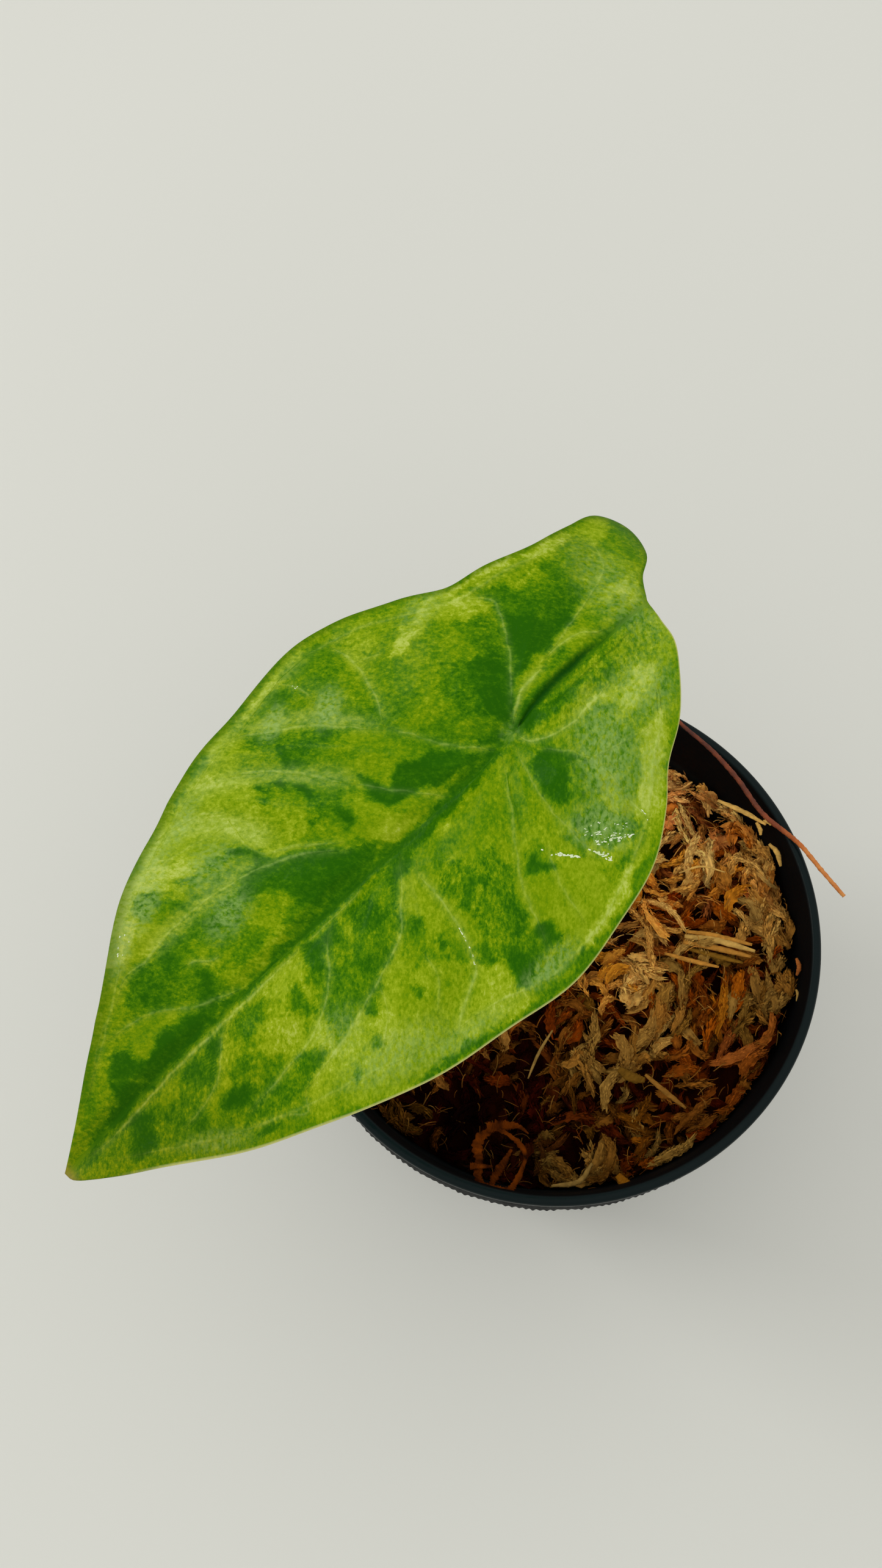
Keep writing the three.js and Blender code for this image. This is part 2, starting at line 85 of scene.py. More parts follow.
def curve(points, count):
    """count points along a smooth centripetal curve through the given ones, evenly spaced in length."""
    steps = 16
    p = np.array(points, float)
    p = np.vstack([2 * p[0] - p[1], p, 2 * p[-1] - p[-2]])
    dense = []
    for i in range(1, len(p) - 2):
        row = p[i - 1:i + 3]
        gaps = [max(np.linalg.norm(b - a), 1e-9) ** 0.5 for a, b in zip(row, row[1:])]
        knots = np.cumsum([0] + gaps)
        t = np.linspace(knots[1], knots[2], steps, endpoint=False)[:, None]
        row = [between(t, knots[k], knots[k + 1], *row[k:k + 2]) for k in range(3)]
        row = [between(t, knots[k], knots[k + 2], *row[k:k + 2]) for k in range(2)]
        dense.append(between(t, knots[1], knots[2], *row))
    dense = np.vstack(dense + [p[-2][None]])
    run = np.concatenate([[0], np.cumsum(np.linalg.norm(np.diff(dense, axis=0), axis=1))])
    at = np.linspace(0, run[-1], count)
    return np.stack([np.interp(at, run, dense[:, k]) for k in range(dense.shape[1])], axis=1)


def turns(count):
    """count angles, evenly spread over a full turn."""
    return 2 * math.pi * np.arange(count) / count


def unit(vectors):
    return vectors / (np.linalg.norm(vectors, axis=-1, keepdims=True) + 1e-9)


def link(thing):
    bpy.context.scene.collection.objects.link(thing)


def make_piece(name, points, faces, material, replaces=(), attributes=None):
    """A smooth-shaded mesh piece from points in millimetres."""
    mesh = bpy.data.meshes.new(name)
    mesh.from_pydata((np.asarray(points) * MM).tolist(), [], [tuple(int(i) for i in f) for f in faces])
    for key, values in (attributes or {}).items():
        values = np.asarray(values, np.float32)
        kind, field = ("FLOAT", "value") if values.ndim == 1 else ("FLOAT_VECTOR", "vector")
        mesh.attributes.new(key, kind, "POINT").data.foreach_set(field, values.ravel())
    mesh.polygons.foreach_set("use_smooth", [True] * len(mesh.polygons))
    materials = material if isinstance(material, (list, tuple)) else [material]
    for one in materials:
        mesh.materials.append(one)
    mesh.update()
    piece = bpy.data.objects.new(name, mesh)
    link(piece)
    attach(piece, BODY)
    if replaces:
        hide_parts(*replaces)
    return piece


def grid_faces(rows, columns, start=0, closed=True):
    """Quads of a grid of rows by columns of points, closed round its columns."""
    faces = []
    for r in range(rows - 1):
        for c in range(columns if closed else columns - 1):
            d = (c + 1) % columns
            faces.append((start + r * columns + c, start + r * columns + d,
                          start + (r + 1) * columns + d, start + (r + 1) * columns + c))
    return faces


# Shader helpers

def new_tree(name):
    material = bpy.data.materials.new(name)
    material.use_nodes = True
    material.node_tree.nodes.clear()
    return material, material.node_tree


def add(tree, kind, inputs=None, **settings):
    node = tree.nodes.new(kind)
    for key, value in settings.items():
        setattr(node, key, value)
    for key, value in (inputs or {}).items():
        if isinstance(value, bpy.types.NodeSocket):
            tree.links.new(value, node.inputs[key])
        else:
            node.inputs[key].default_value = value
    return node


def attribute(tree, name, output="Fac"):
    return add(tree, "ShaderNodeAttribute", attribute_name=name).outputs[output]


def place(tree):
    return add(tree, "ShaderNodeTexCoord").outputs["Object"]


def noise(tree, vector, scale, detail=3.0, roughness=0.55, distortion=0.0):
    return add(tree, "ShaderNodeTexNoise", {"Vector": vector, "Scale": scale, "Detail": detail,
                                            "Roughness": roughness, "Distortion": distortion}).outputs["Fac"]


def math_node(tree, operation, a, b):
    return add(tree, "ShaderNodeMath", {0: a, 1: b}, operation=operation).outputs[0]


def times(tree, a, b):
    return math_node(tree, "MULTIPLY", a, b)


def spread(tree, value, low, high, to_low=0.0, to_high=1.0):
    return add(tree, "ShaderNodeMapRange", {"Value": value, "From Min": low, "From Max": high,
                                            "To Min": to_low, "To Max": to_high}).outputs["Result"]


def mix(tree, factor, a, b, blend="MIX"):
    node = add(tree, "ShaderNodeMix", {0: factor}, data_type="RGBA", blend_type=blend)
    for index, value in ((6, a), (7, b)):
        if isinstance(value, bpy.types.NodeSocket):
            tree.links.new(value, node.inputs[index])
        else:
            node.inputs[index].default_value = (*value, 1)
    return node.outputs[2]


def glaze(tree, colour, layers):
    """Screen colours laid one over the other, each by its share."""
    for share, tint in layers:
        colour = mix(tree, share, colour, linear(*tint))
    return colour


def ramp(tree, value, stops):
    node = add(tree, "ShaderNodeValToRGB", {"Fac": value})
    elements = node.color_ramp.elements
    while len(elements) < len(stops):
        elements.new(0.5)
    for element, (position, colour) in zip(elements, stops):
        element.position = position
        element.color = (*linear(*colour), 1)
    return node.outputs["Color"]


def bump(tree, height, strength, distance, normal=None):
    inputs = {"Height": height, "Strength": strength, "Distance": distance}
    if normal is not None:
        inputs["Normal"] = normal
    return add(tree, "ShaderNodeBump", inputs).outputs["Normal"]


def surface(tree, **inputs):
    named = {key.replace("_", " "): value for key, value in inputs.items()}
    shader = add(tree, "ShaderNodeBsdfPrincipled", named)
    add(tree, "ShaderNodeOutputMaterial", {"Surface": shader.outputs["BSDF"]})


# Camera, floor and light

# Lens and sensor width in millimetres, place in metres, and tilt in degrees from straight down
LENS, SENSOR = 42.04, 36
CAMERA_PLACE, CAMERA_TILT = (-0.0167, -0.0677, 0.3344), 19
# How strongly the room shines at its horizon and overhead, and its colour
ROOM_LOW, ROOM_HIGH, ROOM_COLOUR = 0.61, 1.02, (254, 254, 250)
# The window: its place, what it faces and its width in metres, then its power in watts and its colour
WINDOW_PLACE, WINDOW_AIM, WINDOW_WIDTH = (-0.85, 0.25, 0.85), (0, 0, 0.08), 0.36
WINDOW_POWER, WINDOW_COLOUR = 2.7, (1, 0.995, 0.97)
# The floor's width in metres and its two nearly equal tones
FLOOR_WIDTH, FLOOR_DARK, FLOOR_PALE = 6, (213, 213, 207), (217, 217, 211)


def set_camera():
    data = bpy.data.cameras.new("camera")
    data.lens = LENS
    data.sensor_width = SENSOR
    camera = bpy.data.objects.new("camera", data)
    camera.location = CAMERA_PLACE
    camera.rotation_euler = (math.radians(CAMERA_TILT), 0, 0)
    link(camera)
    bpy.context.scene.camera = camera


def set_light():
    """A pale room that is brighter overhead, with one small window to the left."""
    world = bpy.data.worlds.new("room")
    world.use_nodes = True
    tree = world.node_tree
    direction = add(tree, "ShaderNodeTexCoord").outputs["Generated"]
    height = add(tree, "ShaderNodeSeparateXYZ", {"Vector": direction}).outputs["Z"]
    room = tree.nodes["Background"].inputs
    tree.links.new(spread(tree, height, 0, 1, ROOM_LOW, ROOM_HIGH), room["Strength"])
    room["Color"].default_value = (*linear(*ROOM_COLOUR), 1)
    bpy.context.scene.world = world
    data = bpy.data.lights.new("window", "AREA")
    data.shape = "SQUARE"
    data.size = WINDOW_WIDTH
    data.energy = WINDOW_POWER
    data.color = WINDOW_COLOUR
    window = bpy.data.objects.new("window", data)
    window.location = WINDOW_PLACE
    aim = Vector(WINDOW_AIM) - Vector(WINDOW_PLACE)
    window.rotation_euler = aim.to_track_quat("-Z", "Y").to_euler()
    link(window)
    bpy.context.scene.view_settings.view_transform = "Standard"


def make_floor():
    material, tree = new_tree("floor_paint")
    grain = noise(tree, place(tree), 900, 2)
    colour = ramp(tree, noise(tree, place(tree), 3, 2), [(0.3, FLOOR_DARK), (0.7, FLOOR_PALE)])
    surface(tree, Base_Color=colour, Roughness=0.7, Normal=bump(tree, grain, 0.05, 0.0002))
    bpy.ops.mesh.primitive_plane_add(size=FLOOR_WIDTH, location=(0, 0, 0))
    floor = bpy.context.object
    floor.name = "floor"
    floor.data.materials.append(material)


# Leaf: the blade's form, in its level axes. u runs from the vein junction towards the tip and
# v to the left of that, in millimetres; z is the height over the junction.

JUNCTION = np.array([-9.0, 3.0, 145.0])
# How far forward and how high the blade may reach, just inside the solid leaf
LEAF_FRONT, LEAF_TOP = -41.76, 148.745
FACE_TOP, UNDER_TOP = LEAF_TOP - 0.07, LEAF_TOP - 0.37
HEADING = math.radians(219)
# The edge from the tip to the back lobes, on the left and on the right
TIP_SIDE_A = [
    (68.2, 0.9), (67.8, 2.4), (63.3, 6.2), (58.3, 9.4), (50.3, 14.3), (42.6, 17.8), (36.7, 20.3),
    (28.3, 22.7), (19.6, 24.1), (11.2, 24.8), (4.2, 23.4), (-2.3, 21.2), (-7.5, 17.3), (-10.6, 13.9),
    (-14.8, 10.8), (-18.4, 6.7), (-20.8, 3.2), (-21.5, 0.3), (-22.3, -2.8),
]
TIP_SIDE_B = [
    (68.2, 0.9), (64.3, -1.5), (56.7, -7.4), (50.2, -12.2), (42.7, -18), (34.1, -21.8), (24.6, -24.3),
    (16, -25.5), (10.4, -25.4), (4.9, -24.1), (-0.7, -21), (-5.1, -17.8), (-9.9, -16.8), (-15.8, -15.5),
    (-21.5, -15.6), (-25.8, -15.3), (-27.9, -12.2), (-27, -7.9), (-23.9, -5.3), (-22.3, -2.8),
]
# The side veins, each from its root towards the margin
SIDE_VEINS = [
    [(0, 0), (5.3, -3), (10.5, -11.2), (15, -17), (21, -22.5)],
    [(9.4, -10), (7.4, -17), (8, -22.5)],
    [(9, 0.6), (16, -8), (21, -14), (24.5, -17.3), (30, -21)],
    [(21, -3.5), (27, -9.5), (29.7, -15), (35, -20)],
    [(18, 0.8), (24, -5.5), (29, -9), (38, -9.8), (45, -10), (52, -8.5)],
    [(40, 0.9), (44.4, -1.7), (49.1, -4.9), (55, -6.5)],
    [(0, 0), (-5.5, -7), (-7.6, -11.2), (-8, -13.3), (-5, -15.8)],
    [(0, 0), (-5.5, -3.5), (-10.4, -4.8), (-20.5, -9.1), (-22, -11.9), (-21, -14)],
    [(0, 0), (-1.2, 1.8), (-5.5, 3.6), (-10.5, 3.1), (-17, 2.2)],
    [(-0.5, 1), (-3.8, 6.3), (-4.8, 10), (-5.2, 16.5)],
    [(0.3, 0.8), (1.8, 6), (2.2, 9), (1.7, 12), (1.2, 19)],
    [(0.8, 0.6), (5, 6), (9.5, 13.5), (11.5, 21)],
    [(14.5, 1), (16.8, 4), (17.4, 12.5), (18.6, 16.8), (24, 19.7)],
    [(17, 1), (20.5, 6), (25, 9.8), (31, 12.4), (40, 14.2)],
    [(25, 1), (29.3, 3.5), (31, 6), (36, 9.6), (47, 11.5)],
    [(44, 1), (50, 4.5), (56, 6.5)],
]
# Lines painted on the blade and raised a little as strips: strength, pale above zero and dark below,
# then width and path. The pale lines are veins, save one of painted glint; the dark lines are painted
# shade along furrows, the midrib's groove and the fold.
LINES = [
    # a dark line of painted shade along a furrow
    (-0.4, 0.25, [(1, 1.2), (2.4, 3), (3.4, 3.4), (4.2, 5), (5.4, 7.6), (6.8, 9.8)]),
    (0.5, 0.25, [(0.3, 0.8), (1.8, 6), (2.3, 10), (2.1, 12), (1.9, 14.6), (0.6, 17)]),
    (0.75, 0.3, [(16.4, 3.6), (17, 4.6), (17.1, 8), (17.3, 11.8), (17.9, 14.8), (18.8, 17), (22, 19),
        (26, 22)]),
    (0.7, 0.3, [(17, 1.5), (19.5, 5), (21.4, 7.2), (22.5, 8.6), (25, 9.8), (28, 11), (34, 12.9),
        (40.8, 14.1)]),
    (0.6, 0.3, [(27, 1.6), (29, 3.4), (31, 6.4), (33, 8.2), (36.5, 10.2), (40, 10.8), (47, 11.6)]),
    (0.5, 0.28, [(43, 1.8), (44.6, 3.2), (46, 5), (47.4, 6.4), (49, 7.2), (54, 8)]),
    (0.5, 0.28, [(40.8, 14.1), (42, 16), (44, 14.6), (46, 13.7), (48, 12.8)]),
    # a dark line of painted shade along the midrib's groove
    (-0.45, 0.45, [(0.6, 0.3), (4, 0.75), (8, 0.95), (14, 1.0), (22, 0.85), (30, 0.75), (40, 0.75),
        (50, 0.8), (58, 1.2)]),
    (0.5, 0.2, [(22, 1.3), (24, 1.7), (31, 1.75)]),
    (1.0, 0.34, [(31, 1.7), (36, 1.85), (44, 1.8), (50, 1.75), (54, 1.95), (58, 2.2), (62, 2.3),
        (65, 1.6)]),
    (0.85, 0.32, [(21, -2.4), (25, -5.6), (30, -8), (35, -9.4), (38, -9.8), (42, -10.1), (46, -9.7),
        (49, -10), (51.6, -8.6)]),
    (0.7, 0.26, [(39, -3.8), (40.4, -4.2), (41.4, -5.2), (42.6, -5.8)]),
    (0.5, 0.28, [(38.5, 0.6)] + SIDE_VEINS[5][1:]),
    (0.55, 0.26, [(2, 0.1), (5.3, -3), (8, -7), (9.8, -10.2)]),
    (0.7, 0.3, [(9.8, -10.2), (8.6, -12.8), (8, -15), (7.4, -18.2), (7.6, -20.6), (8.2, -22.6)]),
    (0.4, 0.24, [(7.2, -18.6), (6.8, -18.4), (4.6, -17)]),
    (0.8, 0.32, [(10, -9.8), (13, -13.4), (15.6, -16.4), (18, -18.6), (20, -20.4), (22, -22), (24, -22.4)]),
    (0.45, 0.26, [(9, 0.6), (13, -3.6), (16.6, -8)]),
    (0.95, 0.42, [(16.6, -8), (18, -10), (19.6, -12.8), (21, -14.6), (22.6, -16.4), (24.6, -18),
        (26, -18.8)]),
    (0.5, 0.28, [(21, -3.5), (25.4, -7), (28.4, -9), (29.2, -11), (29.2, -13.4), (29, -15)]),
    (0.6, 0.3, [(28.4, -15.6), (31, -18), (33, -19), (35, -19.6), (36.6, -19.9)]),
    (0.5, 0.26, [(13.6, -18.4), (13.8, -20.4), (14.4, -22), (15.2, -23.6)]),
    (1.1, 0.3, [(-1.1, -0.9), (-1.9, -1.7), (-2.6, -2.1), (-4, -2.9), (-6, -3.3), (-7.5, -3.4)]),
    (0.6, 0.28, [(-8, -4), (-11, -4.3), (-13, -3.9), (-14.4, -3), (-16, -2.5)]),
    (1.15, 0.3, [(-0.9, -0.3), (-0.7, 0.6), (-1, 1.9), (-1.8, 2.6), (-3, 3.2), (-6, 3.6), (-8, 3.3),
        (-12, 2.6)]),
    # a dark line of painted shade beside the closed fold
    (-0.55, 0.22, [(-4.6, 0.9), (-8, 0.4), (-10, 0.2), (-12, 0), (-15, -0.2), (-19, -1)]),
    (0.5, 0.26, [(-1, 3.2), (-2, 4.4), (-3.8, 6.6), (-4.8, 10), (-4.9, 14)]),
    # a pale line of painted glint, standing for a highlight
    (0.9, 0.2, [(-4.9, 14), (-5.1, 15.4), (-5.3, 17)]),
    (0.6, 0.3, [(-1.5, -1.8)] + SIDE_VEINS[6][1:]),
    (0.5, 0.28, [(-8, -4), (-14, -5.8), (-20.4, -8.4), (-21.4, -9.6), (-22, -11.6), (-21.8, -13.6)]),
    (0.45, 0.28, [(2, 0.8)] + SIDE_VEINS[11][1:]),
    (0.45, 0.3, [(-21, -14), (-15, -14.2), (-10, -15), (-5, -15.8), (0, -18.6), (4, -21.5), (9, -23.2),
        (15, -23.6)]),
    (0.45, 0.3, [(15, -23.6), (21, -22.8), (27, -21.6), (34, -20), (41, -16.6), (48, -11.8), (55, -6.8),
        (61, -2.8)]),
    (0.5, 0.3, [(-17, 3.5), (-13, 9.5), (-9, 13), (-5.4, 16.6), (0, 19.8), (6, 22.2), (13, 22.6), (20, 21),
        (28, 19.6)]),
    (0.4, 0.3, [(28, 19.6), (36, 17.2), (44, 14.6), (52, 11), (58, 7.4), (62.5, 4.6)]),
]
TWIGS = [
    [(22, 12), (22.5, 15), (25, 18)], [(27.5, 11), (28.8, 14), (32, 17)], [(5, 12), (6.5, 16), (7, 21)],
    [(30, -14.6), (34, -16), (39, -17)], [(-4.2, 8), (-8, 9), (-12, 9.6)], [(52, -8.5), (55, -7.4), (58, -5)],
]
LINES += [(0.35, 0.24, path) for path in TWIGS]
# Bands of painted sheen, a milky pale standing for reflected light, in the same form but painted only:
# on four side veins and a little inside the margin
MARGIN_IN = 0.93
PAINTED_SHEEN_BANDS = [
    (1.9, 0.6, SIDE_VEINS[0][2:]), (1.9, 0.7, SIDE_VEINS[2][1:]),
    (2.2, 0.8, SIDE_VEINS[3][1:]), (1.5, 0.8, SIDE_VEINS[4][2:5]),
    (2.4, 0.9, [(u, MARGIN_IN * v) for u, v in TIP_SIDE_B[3:6]]),
    (1.6, 0.7, [(u, MARGIN_IN * v) for u, v in TIP_SIDE_B[5:9]]),
]
# Where the back lobes close on each other
CREASE = [
    (-1.6, -0.4), (-4, -0.9), (-6, -1.25), (-8, -1.5), (-10, -1.65), (-12, -1.9), (-15, -1.9), (-20.5, -2.7),
]


def distance_to(u, v, path):
    """Distance from each place to a path of straight runs, and how far along the path that is, 0 to 1."""
    path = np.array(path, float)
    best = np.full(u.shape, 1e9)
    along = np.zeros(u.shape)
    runs = np.linalg.norm(np.diff(path, axis=0), axis=1)
    total = runs.sum()
    done = 0.0
    for (au, av), (bu, bv), run in zip(path, path[1:], runs):
        du, dv = bu - au, bv - av
        t = np.clip(((u - au) * du + (v - av) * dv) / (run * run), 0, 1)
        away = np.hypot(u - au - t * du, v - av - t * dv)
        near = away < best
        best = np.where(near, away, best)
        along = np.where(near, (done + t * run) / total, along)
        done += run
    return best, along


def fold_line(u):
    return np.where(u < 0, 0.11 * u, 0.95 * (1 - np.exp(-np.maximum(u, 0) / 6)))


def crease_share(u):
    return smoothstep(-u, 1, 4) * (1 - smoothstep(-u, 14, 20))


def blade_form(u, v, margin, veins):
    """The blade's height, which the solid leaf has too."""
    fold = v - fold_line(u)
    behind = -0.26 * u * np.exp(np.minimum(u, 0) / 26) - 0.0055 * u * u
    spine = np.where(u > 0, -0.26 * u - 0.003 * u * u, behind)
    rounded = np.sqrt(fold ** 2 + 0.5) - 0.707 * np.exp(-(fold / 1.6) ** 2)
    arch = 3.2 * (1 - np.exp(-rounded / 7)) - 0.0085 * fold * fold
    quilt = 0.7 * (1 - np.exp(-(veins / 2.5) ** 2)) * np.minimum(1, np.abs(fold) / 2)
    crease = 1.6 * crease_share(u) * np.exp(-(fold / 1.4) ** 2)
    wave = 0.7 * margin ** 3 * np.sin(9 * np.arctan2(v, u - 20))
    past = np.maximum(0, np.hypot(u, v) - 21)
    lobe = np.where((u < 0) & (v < 0), 0.03 * past * past, 0)
    return spine + arch + quilt - crease + wave - lobe
